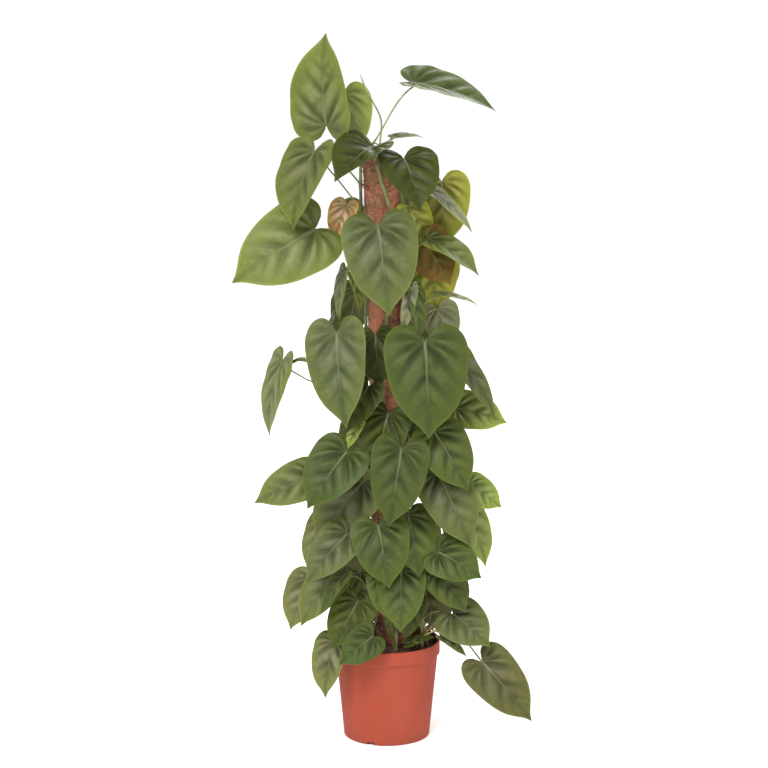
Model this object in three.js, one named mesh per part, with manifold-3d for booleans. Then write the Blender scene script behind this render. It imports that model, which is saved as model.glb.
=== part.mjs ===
// A potted heartleaf philodendron trained up a coir pole, in millimetres, +Z up.
// The origin is the middle of the pot's underside. The front of the plant looks along -Y.
import * as THREE from "three";
import { mergeVertices } from "three/addons/utils/BufferGeometryUtils.js";
import Module from "manifold-3d";

const wasm = await Module();
wasm.setup();

// Pot: height and radii of a thin moulded pot with a thick rim band
const POT_HEIGHT = 175;
const RIM_RADIUS = 95;
const RIM_BAND_BOTTOM = 150;
const FOOT_RADIUS = 76.8;
const NECK_RADIUS = 91.2;
const INNER_FOOT_RADIUS = 74.9;
const INNER_LIP_RADIUS = 91.7;
const FLOOR_TOP = 6.5;
const FLOOR_UNDERSIDE = 3.5;
const CENTRE_FOOT_RADIUS = 15;
const FOOT_RING_INNER = 65;
const FOOT_DRAFT = 1.5;
const FOOT_CHAMFER = 2.3;
const RIM_CHAMFER = 1.2;
const POT_SEGMENTS = 36;
const DRAIN_HOLES = 8;
const DRAIN_HOLE_RADIUS = 5;
const DRAIN_CIRCLE = 48;
const DRAIN_SIDES = 8;
const NOTCHES = 3;
const NOTCH_WIDTH = 13;
const NOTCH_HEIGHT = 5;
const NOTCH_DEPTH = 20;
const NOTCH_TURN = 8;

// Shallow panels sunk in the wall under the rim band
const PANEL_BEARINGS = [64, -56, 184];
const PANEL_HALF_ANGLE = 12;
const PANEL_TOP = 144;
const PANEL_BOTTOM = 98;
const PANEL_DEPTH = 0.8;
const PANEL_OVERCUT = 6;

// Soil
const GAP = 0.3;
const SOIL_WALL_GAP = 0.4;
const SOIL_EDGE = 162;
const SOIL_MOUND = 12;
const SOIL_CRUMB = 2.2;
const SOIL_SEGMENTS = 20;
const ABOVE_SOIL = 260;
const BELOW_POT = -5;
const SOIL_RINGS = [1, 0.85, 0.68, 0.5];

// Pole: a wooden core in a coir sleeve, leaning a little to the left
const POLE_FOOT_X = 18.5;
const POLE_LEAN = -0.0286;
const CORE_RADIUS = 11;
const CORE_TOP = 1012;
const SLEEVE_RADIUS = 30;
const SLEEVE_BORE = CORE_RADIUS + GAP;
const SLEEVE_BOTTOM = 135;
const SLEEVE_TOP = 1036;
const SLEEVE_BUMP = 1.6;
const SLEEVE_SHOULDER = 6;
const SLEEVE_SEGMENTS = 15;
const SLEEVE_STEPS = 15;

// Stems and petioles
const STEM_RADIUS = 3.4;
const STEM_SIDES = 4;
const STEM_STEPS = 27;
const STEM_REACH = SLEEVE_RADIUS + SLEEVE_BUMP + STEM_RADIUS + 1.5;
const STEM_ROOT_DEPTH = 60;
const STEM_STRAIGHT = 18;
const STEM_SAMPLES = 400;
const LOWEST_NODE = 205;
const TOP_NODE = 4;
const PETIOLE_RADIUS = 1.7;
const PETIOLE_SIDES = 3;
const PETIOLE_STEPS = 4;
const PETIOLE_SEAT = 0.06;
const PETIOLE_SINK = 0.4;

// How a petiole runs: its rise below the blade, its bow away from the stem, and its end behind the blade
const PETIOLE_RISE = 22;
const PETIOLE_SLOPE = 0.45;
const PETIOLE_OUT = 0.22;
const PETIOLE_UP = 0.28;
const PETIOLE_CLEAR = 0.5;
const PETIOLE_ALONG = 0.45;
const PETIOLE_BEHIND = 0.6;
const PETIOLE_BEND = 0.3;

// Blade: a full heart with a short drip tip, as fractions of the length from petiole to tip
const BLADE_BODY = 0.42;
const BLADE_POINT = 0.44;
const BLADE_TAPER = 0.64;
const BLADE_TAPER_POWER = 1.8;
const BLADE_DRIP = 0.14;
const DRIP_TAPER = 0.07;
const SINUS_ANGLE = 2.705;
const SINUS_POWER = 3;
const FULL_WIDTH = 0.785;
const BLADE_ARCH = 0.2;
const BLADE_CUP = 0.3;
const BLADE_THICKNESS = 0.9;
const BLADE_RINGS = [0.52, 1];
const BLADE_ANGLES = [0, 5, 20, 48, 90, 132];

// Leaf rows: petiole end, tip, bearing and tilt of the upper face in degrees (0 looks to the front,
// 90 to the right), width as a fraction of the length, fold along the midrib
const LEFT_LEAVES = [
  [[-105, -6, 1088], [-105, 0, 1245], -38, -5, 0.84, 0.35],
  [[-124, -50, 1046], [-164, -80, 915], -45, 15, 0.86, 0.3],
  [[-123, -50, 914], [-264, -75, 822], -10, 15, 0.82, 0.15],
  [[-73, -30, 837], [-81, -32, 742], -70, 10, 0.6, 0.2],
  [[-60, -45, 834], [-45, -50, 768], 66, 10, 0.6, 0.2],
  [[-86, -90, 739], [-74, -115, 578], -15, 10, 0.66, 0.3],
  [[-184, 0, 678], [-209, -10, 545], -70, 10, 0.95, 0.15],
  [[-32, -70, 645], [-68, -90, 568], -20, 15, 0.8, 0.2],
  [[-48, -70, 580], [-68, -78, 535], -40, 20, 0.6, 0.2],
  [[-70, -85, 532], [-138, -111, 438], -20, 15, 0.88, 0.25],
  [[-130, 0, 472], [-235, -10, 424], -15, 30, 0.72, 0.2],
  [[-43, -54, 472], [-127, -46, 356], -20, 15, 0.76, 0.2],
  [[-68, -82, 388], [-142, -110, 306], -15, 25, 0.7, 0.2],
  [[-108, -10, 395], [-142, -25, 305], -40, 10, 0.7, 0.2],
  [[-135, -20, 290], [-172, -45, 204], -30, 10, 0.84, 0.2],
  [[-90, -60, 315], [-150, -85, 221], -30, 20, 0.7, 0.2],
  [[-75, -95, 315], [-115, -112, 250], -50, 20, 0.5, 0.2],
  [[-51, -76, 264], [-94, -99, 184], -5, 15, 0.84, 0.2],
  [[-25, -105, 209], [-84, -129, 167], 0, 20, 0.84, 0.2],
  [[-92, -60, 187], [-111, -90, 93], -30, 10, 0.7, 0.35],
  [[-70, -22, 953], [-90, -38, 892], -25, 10, 0.82, 0.3],
  [[-96, 8, 746], [-118, 8, 640], -86, 15, 0.8, 0.2],
  [[-47, -40, 302], [-35, -48, 237], -10, 15, 0.8, 0.2],
];
const FRONT_LEAVES = [
  [[-27, -48, 1053], [-85, -140, 1002], 5, 63, 0.74, 0.58],
  [[-74, 26, 1140], [-60, 16, 1034], 150, 10, 0.95, 0.2],
  [[46, -10, 1161], [188, 0, 1114], 0, 70, 0.76, 0.35],
  [[12, -10, 1069], [64, 10, 1068], 0, 70, 0.4, 0.2],
  [[-15, -75, 920], [5, -110, 770], 0, 15, 0.84, 0.2],
  [[-20, -48, 730], [-10, -60, 640], -20, 15, 0.8, 0.2],
  [[2, -66, 595], [-25, -88, 485], -10, 15, 0.75, 0.2],
  [[25, -98, 540], [0, -128, 409], 5, 10, 0.74, 0.3],
  [[-15, -95, 405], [5, -125, 300], 0, 15, 0.92, 0.2],
  [[25, -75, 320], [25, -105, 215], 0, 15, 0.8, 0.2],
  [[-5, -62, 311], [2, -84, 231], 0, 15, 0.78, 0.2],
  [[2, -80, 244], [11, -86, 192], -60, 20, 0.45, 0.2],
];
const RIGHT_LEAVES = [
  [[29, -55, 1034], [58, -125, 950], 15, 35, 0.92, 0.42],
  [[95, 8, 991], [98, 8, 876], 170, 10, 0.86, 0.2],
  [[75, -40, 980], [148, -45, 908], 60, 20, 0.4, 0.2],
  [[71, -38, 896], [161, -50, 836], 40, 58, 0.74, 0.3],
  [[64, -26, 893], [111, -34, 816], 200, 10, 0.95, 0.2],
  [[80, 16, 860], [82, 8, 757], 0, 10, 0.88, 0.2],
  [[88, -48, 802], [160, -52, 782], 0, 80, 0.4, 0.2],
  [[89, 0, 770], [110, 0, 700], 180, 0, 0.95, 0.2],
  [[65, -90, 725], [68, -120, 560], 10, 10, 0.88, 0.2],
  [[45, -45, 815], [55, -60, 720], 60, 10, 0.6, 0.2],
  [[109, -30, 707], [190, -40, 582], 55, 10, 0.45, 0.2],
  [[122, -10, 596], [212, -20, 573], 0, 35, 0.82, 0.2],
  [[42, -50, 612], [58, -72, 530], 20, 15, 0.6, 0.2],
  [[82, -76, 565], [143, -98, 466], 15, 10, 0.8, 0.2],
  [[88, -62, 490], [149, -96, 366], 10, 10, 0.7, 0.2],
  [[145, -20, 459], [204, -20, 421], 20, 20, 0.85, 0.2],
  [[133, -20, 425], [178, -30, 315], 40, 10, 0.65, 0.2],
  [[37, -68, 416], [56, -95, 312], 20, 10, 0.84, 0.2],
  [[90, -88, 356], [164, -108, 314], 10, 25, 0.96, 0.2],
  [[88, -60, 318], [139, -85, 246], 20, 20, 0.85, 0.2],
  [[41, -62, 813], [24, -72, 737], 20, 10, 0.34, 0.2],
  [[68, -8, 262], [90, -18, 193], 10, 20, 0.7, 0.2],
  [[86, 30, 396], [120, 36, 294], 98, 15, 0.8, 0.2],
  [[38, -16, 950], [76, 0, 888], 10, 10, 0.8, 0.2],
];
const RUNNER_LEAVES = [
  [[50, -60, 260], [30, -80, 195], 10, 20, 0.6, 0.2],
  [[116, -62, 238], [180, -110, 192], 5, 30, 0.95, 0.2],
  [[97, -74, 200], [141, -90, 168], 10, 60, 0.4, 0.2],
  [[168, -90, 158], [254, -120, 62], 5, 20, 0.7, 0.2],
  [[36, -74, 188], [84, -72, 200], 0, 60, 0.45, 0.2],
];

// Stem rows: points as bearing round the pole and height; the first stands in the soil
const VINES = {
  vine_left: {
    root: [-30, -22],
    climb: [[-80, 235], [-60, 400], [-85, 600], [-65, 800], [-80, 960], [-70, 1030]],
    leaves: LEFT_LEAVES,
  },
  vine_front: {
    root: [16, -52],
    climb: [[0, 240], [12, 400], [-12, 600], [10, 800], [22, 940], [-2, 1000], [-25, 1060]],
    leaves: FRONT_LEAVES,
  },
  vine_right: {
    root: [62, -8],
    climb: [[75, 235], [60, 400], [80, 600], [62, 800], [72, 940], [60, 1010]],
    leaves: RIGHT_LEAVES,
  },
  vine_back: {
    root: [10, 50],
    climb: [[180, 240], [165, 400], [190, 600], [170, 800], [185, 940], [175, 1015]],
    leaves: [],
  },
};

// Leaves on the far side, one every few centimetres up the back stem, each a golden turn further round
const BACK_LEAVES = 17;
const BACK_SEED = 73;
const BACK_FIRST = 222;
const BACK_LAST = 990;
const BACK_BEARING = 172;
const BACK_SPREAD = 52;
const GOLDEN_TURN = 0.618;
const BACK_REACH = [84, 112];
const BACK_LENGTH = [100, 145];
const BACK_DROOP = [52, 74];
const BACK_SWING = 20;
const BACK_FORM = [15, 0.82, 0.2];
const SEED = 26;

// Short shoot that leans over the rim on the right
const RUNNER_ROOT = [62, -34];
const RUNNER_POINTS = [[71, -41, 203], [88, -52, 212], [108, -64, 206]];
const RUNNER_STRAIGHT = 9;
const RUNNER_STEPS = 12;
const RUNNER_FIRST_NODE = 0.66;
const RUNNER_NODE_STEP = 0.08;

// Numbers between 0 and 1 that are the same on every run
function seededRandom(seed) {
  let state = seed;
  return () => {
    state = (state * 1664525 + 1013904223) % 4294967296;
    return state / 4294967296;
  };
}

const radians = THREE.MathUtils.degToRad;

// The solid of a closed geometry
function solidOf(geometry) {
  const bare = geometry.clone();
  bare.deleteAttribute("normal");
  bare.deleteAttribute("uv");
  const merged = mergeVertices(bare, 1e-4);
  const mesh = new wasm.Mesh({
    numProp: 3,
    vertProperties: new Float32Array(merged.attributes.position.array),
    triVerts: new Uint32Array(merged.index.array),
  });
  return new wasm.Manifold(mesh);
}

// The geometry of a solid, without any loose scrap
function geometryOf(solid) {
  const bodies = solid.decompose().sort((a, b) => b.volume() - a.volume());
  const mesh = bodies[0].getMesh();
  const geometry = new THREE.BufferGeometry();
  geometry.setAttribute("position", new THREE.BufferAttribute(new Float32Array(mesh.vertProperties), 3));
  geometry.setIndex(new THREE.BufferAttribute(new Uint32Array(mesh.triVerts), 1));
  geometry.computeVertexNormals();
  return geometry;
}

// A shape turned about the Z axis from [radius, height] points, starting and ending on the axis
function turned(points, segments) {
  const geometry = new THREE.LatheGeometry(points.map(([r, z]) => new THREE.Vector2(r, z)), segments);
  geometry.rotateX(Math.PI / 2);
  return geometry;
}

// An upright cylinder about the Z axis
function cylinder(radius, bottom, top, segments) {
  return turned([[0, bottom], [radius, bottom], [radius, top], [0, top]], segments);
}

// A rod with flat sides along a curve
function tube(path, radius, sides, steps) {
  const section = new THREE.Shape();
  for (let i = 0; i < sides; i += 1) {
    const turn = (i * 2 * Math.PI) / sides;
    const x = radius * Math.cos(turn);
    const y = radius * Math.sin(turn);
    if (i === 0) section.moveTo(x, y);
    else section.lineTo(x, y);
  }
  section.closePath();
  return new THREE.ExtrudeGeometry(section, { steps, extrudePath: path, bevelEnabled: false });
}

// A named piece with a plain material
function mesh(name, geometry, color, roughness) {
  const material = new THREE.MeshStandardMaterial({ color, roughness, metalness: 0 });
  const piece = new THREE.Mesh(geometry, material);
  piece.name = name;
  return piece;
}

// Middle of the pole at a height
function poleAxis(z) {
  return new THREE.Vector3(POLE_FOOT_X + POLE_LEAN * z, 0, z);
}

// A point beside the pole at a bearing, height and distance from its middle
function besidePole(bearing, z, reach) {
  const angle = radians(bearing);
  const offset = new THREE.Vector3(Math.sin(angle) * reach, -Math.cos(angle) * reach, 0);
  return poleAxis(z).add(offset);
}

// A turned shape set along the leaning pole
function alongPole(geometry) {
  const lean = new THREE.Matrix4().set(1, 0, POLE_LEAN, POLE_FOOT_X, 0, 1, 0, 0, 0, 0, 1, 0, 0, 0, 0, 1);
  return geometry.applyMatrix4(lean);
}

// The pot: turned, with drain holes, notches in its foot and panels in its wall
function potSolid() {
  const profile = [
    [0, 0], [CENTRE_FOOT_RADIUS, 0], [CENTRE_FOOT_RADIUS + FOOT_DRAFT, FLOOR_UNDERSIDE],
    [FOOT_RING_INNER - FOOT_DRAFT, FLOOR_UNDERSIDE], [FOOT_RING_INNER, 0],
    [FOOT_RADIUS - FOOT_CHAMFER, 0], [FOOT_RADIUS, FOOT_CHAMFER],
    [NECK_RADIUS, RIM_BAND_BOTTOM - RIM_CHAMFER], [RIM_RADIUS, RIM_BAND_BOTTOM + RIM_CHAMFER],
    [RIM_RADIUS, POT_HEIGHT - RIM_CHAMFER], [RIM_RADIUS - RIM_CHAMFER, POT_HEIGHT],
    [INNER_LIP_RADIUS, POT_HEIGHT],
    [INNER_FOOT_RADIUS, FLOOR_TOP], [0, FLOOR_TOP],
  ];
  let pot = solidOf(turned(profile, POT_SEGMENTS));
  for (let i = 0; i < DRAIN_HOLES; i += 1) {
    const turn = ((i + 0.5) * 2 * Math.PI) / DRAIN_HOLES;
    const hole = cylinder(DRAIN_HOLE_RADIUS, BELOW_POT, FLOOR_TOP - BELOW_POT, DRAIN_SIDES);
    hole.translate(DRAIN_CIRCLE * Math.cos(turn), DRAIN_CIRCLE * Math.sin(turn), 0);
    pot = pot.subtract(solidOf(hole));
  }
  for (let i = 0; i < NOTCHES; i += 1) {
    const notch = new THREE.BoxGeometry(NOTCH_DEPTH, NOTCH_WIDTH, 2 * NOTCH_HEIGHT);
    notch.translate(FOOT_RADIUS, 0, 0);
    notch.rotateZ(radians(NOTCH_TURN + (i * 360) / NOTCHES));
    pot = pot.subtract(solidOf(notch));
  }
  return PANEL_BEARINGS.reduce((rest, bearing) => rest.subtract(panelSolid(bearing)), pot);
}

// Radius of the pot's outer wall at a height
function wallRadius(z) {
  const share = (z - FOOT_CHAMFER) / (RIM_BAND_BOTTOM - RIM_CHAMFER - FOOT_CHAMFER);
  return THREE.MathUtils.lerp(FOOT_RADIUS, NECK_RADIUS, share);
}

// The sector of a thin ring that sinks a panel in the wall
function panelSolid(bearing) {
  const band = (bottom, top, offset) => solidOf(turned([
    [0, bottom], [wallRadius(bottom) + offset, bottom], [wallRadius(top) + offset, top], [0, top],
  ], POT_SEGMENTS));
  const ring = band(PANEL_BOTTOM, PANEL_TOP, PANEL_OVERCUT);
  const core = band(PANEL_BOTTOM - 1, PANEL_TOP + 1, -PANEL_DEPTH);
  const wedge = new THREE.Shape();
  const reach = 2 * RIM_RADIUS;
  wedge.moveTo(0, 0);
  wedge.lineTo(reach, -reach * Math.tan(radians(PANEL_HALF_ANGLE)));
  wedge.lineTo(reach, reach * Math.tan(radians(PANEL_HALF_ANGLE)));
  wedge.closePath();
  const sector = new THREE.ExtrudeGeometry(wedge, { depth: POT_HEIGHT, bevelEnabled: false });
  sector.rotateZ(radians(bearing - 90));
  return ring.subtract(core).intersect(solidOf(sector));
}

// The soil: a low crumbly mound that fills the pot, with a socket for each stem and for the pole
function soilSolid(stemHoles) {
  const random = seededRandom(SEED);
  const slope = (INNER_LIP_RADIUS - INNER_FOOT_RADIUS) / (POT_HEIGHT - FLOOR_TOP);
  const radiusAt = (z) => INNER_FOOT_RADIUS + slope * (z - FLOOR_TOP) - SOIL_WALL_GAP;
  const bottom = FLOOR_TOP + GAP;
  const moundAt = (share) => SOIL_EDGE + SOIL_MOUND * (1 - share ** 2);
  const rings = SOIL_RINGS.map((share) => [share * radiusAt(SOIL_EDGE), moundAt(share)]);
  const profile = [[0, bottom], [radiusAt(bottom), bottom], ...rings, [0, SOIL_EDGE + SOIL_MOUND]];
  const geometry = turned(profile, SOIL_SEGMENTS);
  geometry.deleteAttribute("normal");
  geometry.deleteAttribute("uv");
  const merged = mergeVertices(geometry, 1e-4);
  const position = merged.attributes.position;
  for (let i = 0; i < position.count; i += 1) {
    const radius = Math.hypot(position.getX(i), position.getY(i));
    const lift = SOIL_CRUMB * (2 * random() - 1);
    if (position.getZ(i) > SOIL_EDGE + 0.5 && radius > 1) position.setZ(i, position.getZ(i) + lift);
  }
  let soil = solidOf(merged);
  const socket = SLEEVE_RADIUS + SLEEVE_BUMP + GAP;
  const sleeveHole = cylinder(socket, SLEEVE_BOTTOM - GAP, ABOVE_SOIL, SLEEVE_SEGMENTS);
  const coreHole = cylinder(SLEEVE_BORE, BELOW_POT, ABOVE_SOIL, SLEEVE_SEGMENTS);
  soil = soil.subtract(solidOf(alongPole(sleeveHole))).subtract(solidOf(alongPole(coreHole)));
  return stemHoles.reduce((rest, [x, y]) => {
    const hole = cylinder(STEM_RADIUS + GAP, SOIL_EDGE - STEM_ROOT_DEPTH - GAP, ABOVE_SOIL, 2 * STEM_SIDES);
    return rest.subtract(solidOf(hole.translate(x, y, 0)));
  }, soil);
}

// The coir sleeve: a tube closed at the top, with a lumpy surface
function sleeveSolid() {
  const random = seededRandom(SEED + 1);
  const outer = [];
  for (let i = 0; i <= SLEEVE_STEPS; i += 1) {
    const z = THREE.MathUtils.lerp(SLEEVE_BOTTOM, SLEEVE_TOP - SLEEVE_SHOULDER, i / SLEEVE_STEPS);
    outer.push([SLEEVE_RADIUS, z]);
  }
  const profile = [
    [SLEEVE_BORE, SLEEVE_BOTTOM], ...outer, [SLEEVE_RADIUS - SLEEVE_SHOULDER, SLEEVE_TOP], [0, SLEEVE_TOP],
    [0, CORE_TOP + GAP], [SLEEVE_BORE, CORE_TOP + GAP], [SLEEVE_BORE, SLEEVE_BOTTOM],
  ];
  const geometry = turned(profile, SLEEVE_SEGMENTS);
  geometry.deleteAttribute("normal");
  geometry.deleteAttribute("uv");
  const merged = mergeVertices(geometry, 1e-4);
  const position = merged.attributes.position;
  for (let i = 0; i < position.count; i += 1) {
    const x = position.getX(i);
    const y = position.getY(i);
    const bump = 1 + (SLEEVE_BUMP * (2 * random() - 1)) / SLEEVE_RADIUS;
    if (Math.hypot(x, y) > SLEEVE_RADIUS - 1) position.setXY(i, x * bump, y * bump);
  }
  return solidOf(alongPole(merged));
}

// Radius of a blade's outline at an angle from its midrib, about the end of the petiole
function bladeRadius(angle) {
  const point = BLADE_POINT * Math.exp(-((angle / BLADE_TAPER) ** BLADE_TAPER_POWER));
  const drip = BLADE_DRIP * Math.exp(-angle / DRIP_TAPER);
  const sinus = Math.sqrt(Math.max(0, 1 - (angle / SINUS_ANGLE) ** SINUS_POWER));
  return (BLADE_BODY + point + drip) * sinus;
}

// Length, midrib, cross and face directions of a leaf
function bladeFrame([base, tip, bearing, tilt]) {
  const start = new THREE.Vector3(...base);
  const along = new THREE.Vector3(...tip).sub(start);
  const length = along.length();
  along.normalize();
  const turn = radians(bearing);
  const rise = radians(tilt);
  const flat = Math.cos(rise);
  const face = new THREE.Vector3(Math.sin(turn) * flat, -Math.cos(turn) * flat, Math.sin(rise));
  face.addScaledVector(along, -face.dot(along)).normalize();
  const across = new THREE.Vector3().crossVectors(face, along);
  return { start, length, along, across, face };
}

// A blade: the petiole's end, an inner ring and the edge, alike on both faces
function bladeSolid(leaf) {
  const { start, length, along, across, face } = bladeFrame(leaf);
  const width = leaf[4] / FULL_WIDTH;
  const fold = leaf[5];
  const half = BLADE_ANGLES.slice(1).map(radians);
  const angles = [...half.slice().reverse().map((angle) => -angle), 0, ...half];
  const points = [[0, 0]];
  for (const ring of BLADE_RINGS) {
    for (const angle of angles) {
      const radius = ring * bladeRadius(Math.abs(angle));
      points.push([radius * Math.cos(angle), radius * Math.sin(angle) * width]);
    }
  }
  const upper = points.map(([u, v]) => {
    const w = BLADE_ARCH * u * (1 - u) + fold * Math.abs(v) - BLADE_CUP * v * v;
    const point = start.clone().addScaledVector(along, u * length);
    return point.addScaledVector(across, v * length).addScaledVector(face, w * length);
  });
  const lower = upper.map((point) => point.clone().addScaledVector(face, -BLADE_THICKNESS));
  const count = angles.length;
  const sheet = [];
  for (let i = 0; i < count - 1; i += 1) {
    const inner = 1 + i;
    const outer = 1 + count + i;
    sheet.push([0, inner, inner + 1]);
    if (i < (count - 1) / 2) sheet.push([inner, outer, outer + 1], [inner, outer + 1, inner + 1]);
    else sheet.push([inner, outer, inner + 1], [inner + 1, outer, outer + 1]);
  }
  const edge = [0, 1];
  for (let i = 0; i < count; i += 1) edge.push(1 + count + i);
  edge.push(count);
  const under = upper.length;
  const index = [];
  for (const [a, b, c] of sheet) index.push(a, b, c, under + a, under + c, under + b);
  for (let i = 0; i < edge.length; i += 1) {
    const a = edge[i];
    const b = edge[(i + 1) % edge.length];
    index.push(a, under + b, b, a, under + a, under + b);
  }
  const geometry = new THREE.BufferGeometry().setFromPoints([...upper, ...lower]);
  geometry.setIndex(index);
  return solidOf(geometry);
}

// A petiole: out and up from the stem, then over and into the blade from behind
function petiolePath(leaf, stem, order) {
  const { start, length, along, face } = bladeFrame(leaf);
  const flatReach = Math.hypot(start.x - poleAxis(start.z).x, start.y) - STEM_REACH;
  const wanted = start.z - PETIOLE_RISE - PETIOLE_SLOPE * Math.max(flatReach, 0);
  const from = stem.pointAt(wanted, order);
  const reach = from.distanceTo(start);
  const outward = start.clone().sub(from).setZ(0).normalize();
  const fromPole = from.clone().sub(poleAxis(from.z)).normalize();
  outward.addScaledVector(fromPole, PETIOLE_CLEAR).normalize();
  const first = from.clone().addScaledVector(outward, reach * PETIOLE_OUT);
  first.z += reach * PETIOLE_UP;
  const entry = along.clone().multiplyScalar(PETIOLE_ALONG).addScaledVector(face, PETIOLE_BEHIND).normalize();
  const second = start.clone().addScaledVector(entry, -reach * PETIOLE_BEND);
  const seatRise = BLADE_ARCH * PETIOLE_SEAT * (1 - PETIOLE_SEAT) * length;
  const seatLift = seatRise - BLADE_THICKNESS - PETIOLE_SINK;
  const end = start.clone().addScaledVector(along, length * PETIOLE_SEAT).addScaledVector(face, seatLift);
  return new THREE.CubicBezierCurve3(from, first, second, end);
}

// A stem as a curve through its points, with the point of it at a height
function climbingStem({ root, climb }) {
  const soilDepth = SOIL_EDGE - STEM_ROOT_DEPTH;
  const points = [
    new THREE.Vector3(root[0], root[1], soilDepth),
    new THREE.Vector3(root[0], root[1], soilDepth + STEM_ROOT_DEPTH / 2),
    new THREE.Vector3(root[0], root[1], SOIL_EDGE + SOIL_MOUND + STEM_STRAIGHT / 4),
    new THREE.Vector3(root[0], root[1], SOIL_EDGE + SOIL_MOUND + STEM_STRAIGHT),
    ...climb.map(([bearing, z]) => besidePole(bearing, z, STEM_REACH)),
  ];
  const path = new THREE.CatmullRomCurve3(points, false, "centripetal");
  const top = climb[climb.length - 1][1];
  const samples = path.getSpacedPoints(STEM_SAMPLES);
  const pointAt = (z) => {
    const height = THREE.MathUtils.clamp(z, LOWEST_NODE, top - TOP_NODE);
    return samples.reduce((best, p) => (Math.abs(p.z - height) < Math.abs(best.z - height) ? p : best));
  };
  return { path, pointAt, steps: STEM_STEPS };
}

// The stem of the short shoot, with its leaves spaced along it in order
function runnerStem() {
  const soilDepth = SOIL_EDGE - STEM_ROOT_DEPTH;
  const points = [
    new THREE.Vector3(...RUNNER_ROOT, soilDepth),
    new THREE.Vector3(...RUNNER_ROOT, soilDepth + STEM_ROOT_DEPTH / 2),
    new THREE.Vector3(...RUNNER_ROOT, SOIL_EDGE + SOIL_MOUND),
    new THREE.Vector3(...RUNNER_ROOT, SOIL_EDGE + SOIL_MOUND + RUNNER_STRAIGHT),
    ...RUNNER_POINTS.map((point) => new THREE.Vector3(...point)),
  ];
  const path = new THREE.CatmullRomCurve3(points, false, "centripetal");
  const pointAt = (z, order) => path.getPointAt(RUNNER_FIRST_NODE + RUNNER_NODE_STEP * order);
  return { path, pointAt, steps: RUNNER_STEPS };
}

// Leaves of the back stem, worked out from the rule above
function backLeaves() {
  const random = seededRandom(BACK_SEED);
  const rows = [];
  for (let i = 0; i < BACK_LEAVES; i += 1) {
    const z = THREE.MathUtils.lerp(BACK_FIRST, BACK_LAST, i / (BACK_LEAVES - 1));
    const share = (0.5 + i * GOLDEN_TURN) % 1;
    const bearing = BACK_BEARING + BACK_SPREAD * (2 * share - 1);
    const reach = THREE.MathUtils.lerp(...BACK_REACH, random());
    const length = THREE.MathUtils.lerp(...BACK_LENGTH, random());
    const base = besidePole(bearing, z, reach);
    const swing = bearing + BACK_SWING * (2 * random() - 1);
    const droop = radians(THREE.MathUtils.lerp(...BACK_DROOP, random()));
    const flat = Math.cos(droop);
    const turn = radians(swing);
    const heading = new THREE.Vector3(Math.sin(turn) * flat, -Math.cos(turn) * flat, -Math.sin(droop));
    const tip = heading.multiplyScalar(length).add(base);
    rows.push([base.toArray(), tip.toArray(), bearing, ...BACK_FORM]);
  }
  return rows;
}

// A stem fused with its petioles and blades
function vineSolid(stem, leaves) {
  let solid = solidOf(tube(stem.path, STEM_RADIUS, STEM_SIDES, stem.steps));
  leaves.forEach((leaf, order) => {
    const path = petiolePath(leaf, stem, order);
    const petiole = solidOf(tube(path, PETIOLE_RADIUS, PETIOLE_SIDES, PETIOLE_STEPS));
    solid = solid.add(petiole).add(bladeSolid(leaf));
  });
  return solid;
}

// Colour and roughness of each material
const TERRACOTTA = ["#c45a46", 0.45];
const PEAT = ["#3a2a1e", 0.95];
const PALE_WOOD = ["#b08c5c", 0.8];
const COIR = ["#8a4e34", 0.95];
const LEAF = ["#4c6b34", 0.5];
const OLIVE_LEAF = ["#5d6b38", 0.5];

const plant = new THREE.Group();
const coreGeometry = alongPole(cylinder(CORE_RADIUS, FLOOR_TOP + GAP, CORE_TOP, SLEEVE_SEGMENTS));
const stemHoles = [...Object.values(VINES).map(({ root }) => root), RUNNER_ROOT];
plant.add(mesh("pot", geometryOf(potSolid()), ...TERRACOTTA));
plant.add(mesh("soil", geometryOf(soilSolid(stemHoles)), ...PEAT));
plant.add(mesh("pole_core", coreGeometry, ...PALE_WOOD));
plant.add(mesh("coir_sleeve", geometryOf(sleeveSolid()), ...COIR));
VINES.vine_back.leaves = backLeaves();
for (const [name, vine] of Object.entries(VINES)) {
  plant.add(mesh(name, geometryOf(vineSolid(climbingStem(vine), vine.leaves)), ...LEAF));
}
plant.add(mesh("vine_runner", geometryOf(vineSolid(runnerStem(), RUNNER_LEAVES)), ...OLIVE_LEAF));

export default plant;
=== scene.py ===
"""Looks of a potted heartleaf philodendron on a coir pole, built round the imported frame.

Lengths are in millimetres until a mesh is made, and metres from then on. +Z is up, -Y the front.
"""

import math

import bpy
import numpy as np
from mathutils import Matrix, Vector, noise


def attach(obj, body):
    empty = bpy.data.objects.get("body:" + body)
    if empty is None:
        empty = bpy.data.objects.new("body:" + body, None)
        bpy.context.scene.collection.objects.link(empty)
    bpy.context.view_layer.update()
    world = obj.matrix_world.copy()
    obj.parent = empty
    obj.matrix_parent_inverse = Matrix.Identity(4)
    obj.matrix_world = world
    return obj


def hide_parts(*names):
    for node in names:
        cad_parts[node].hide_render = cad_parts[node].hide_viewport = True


MM = 0.001
SEED = 26

# Camera: its place, its downward pitch and a focal length in pixels of the photograph
CAMERA_AT = (-5, -3500, 1200)
CAMERA_PITCH = 9.14
FOCAL_PIXELS = 2018
FRAME_PIXELS = 768
SENSOR_WIDTH = 36

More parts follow.
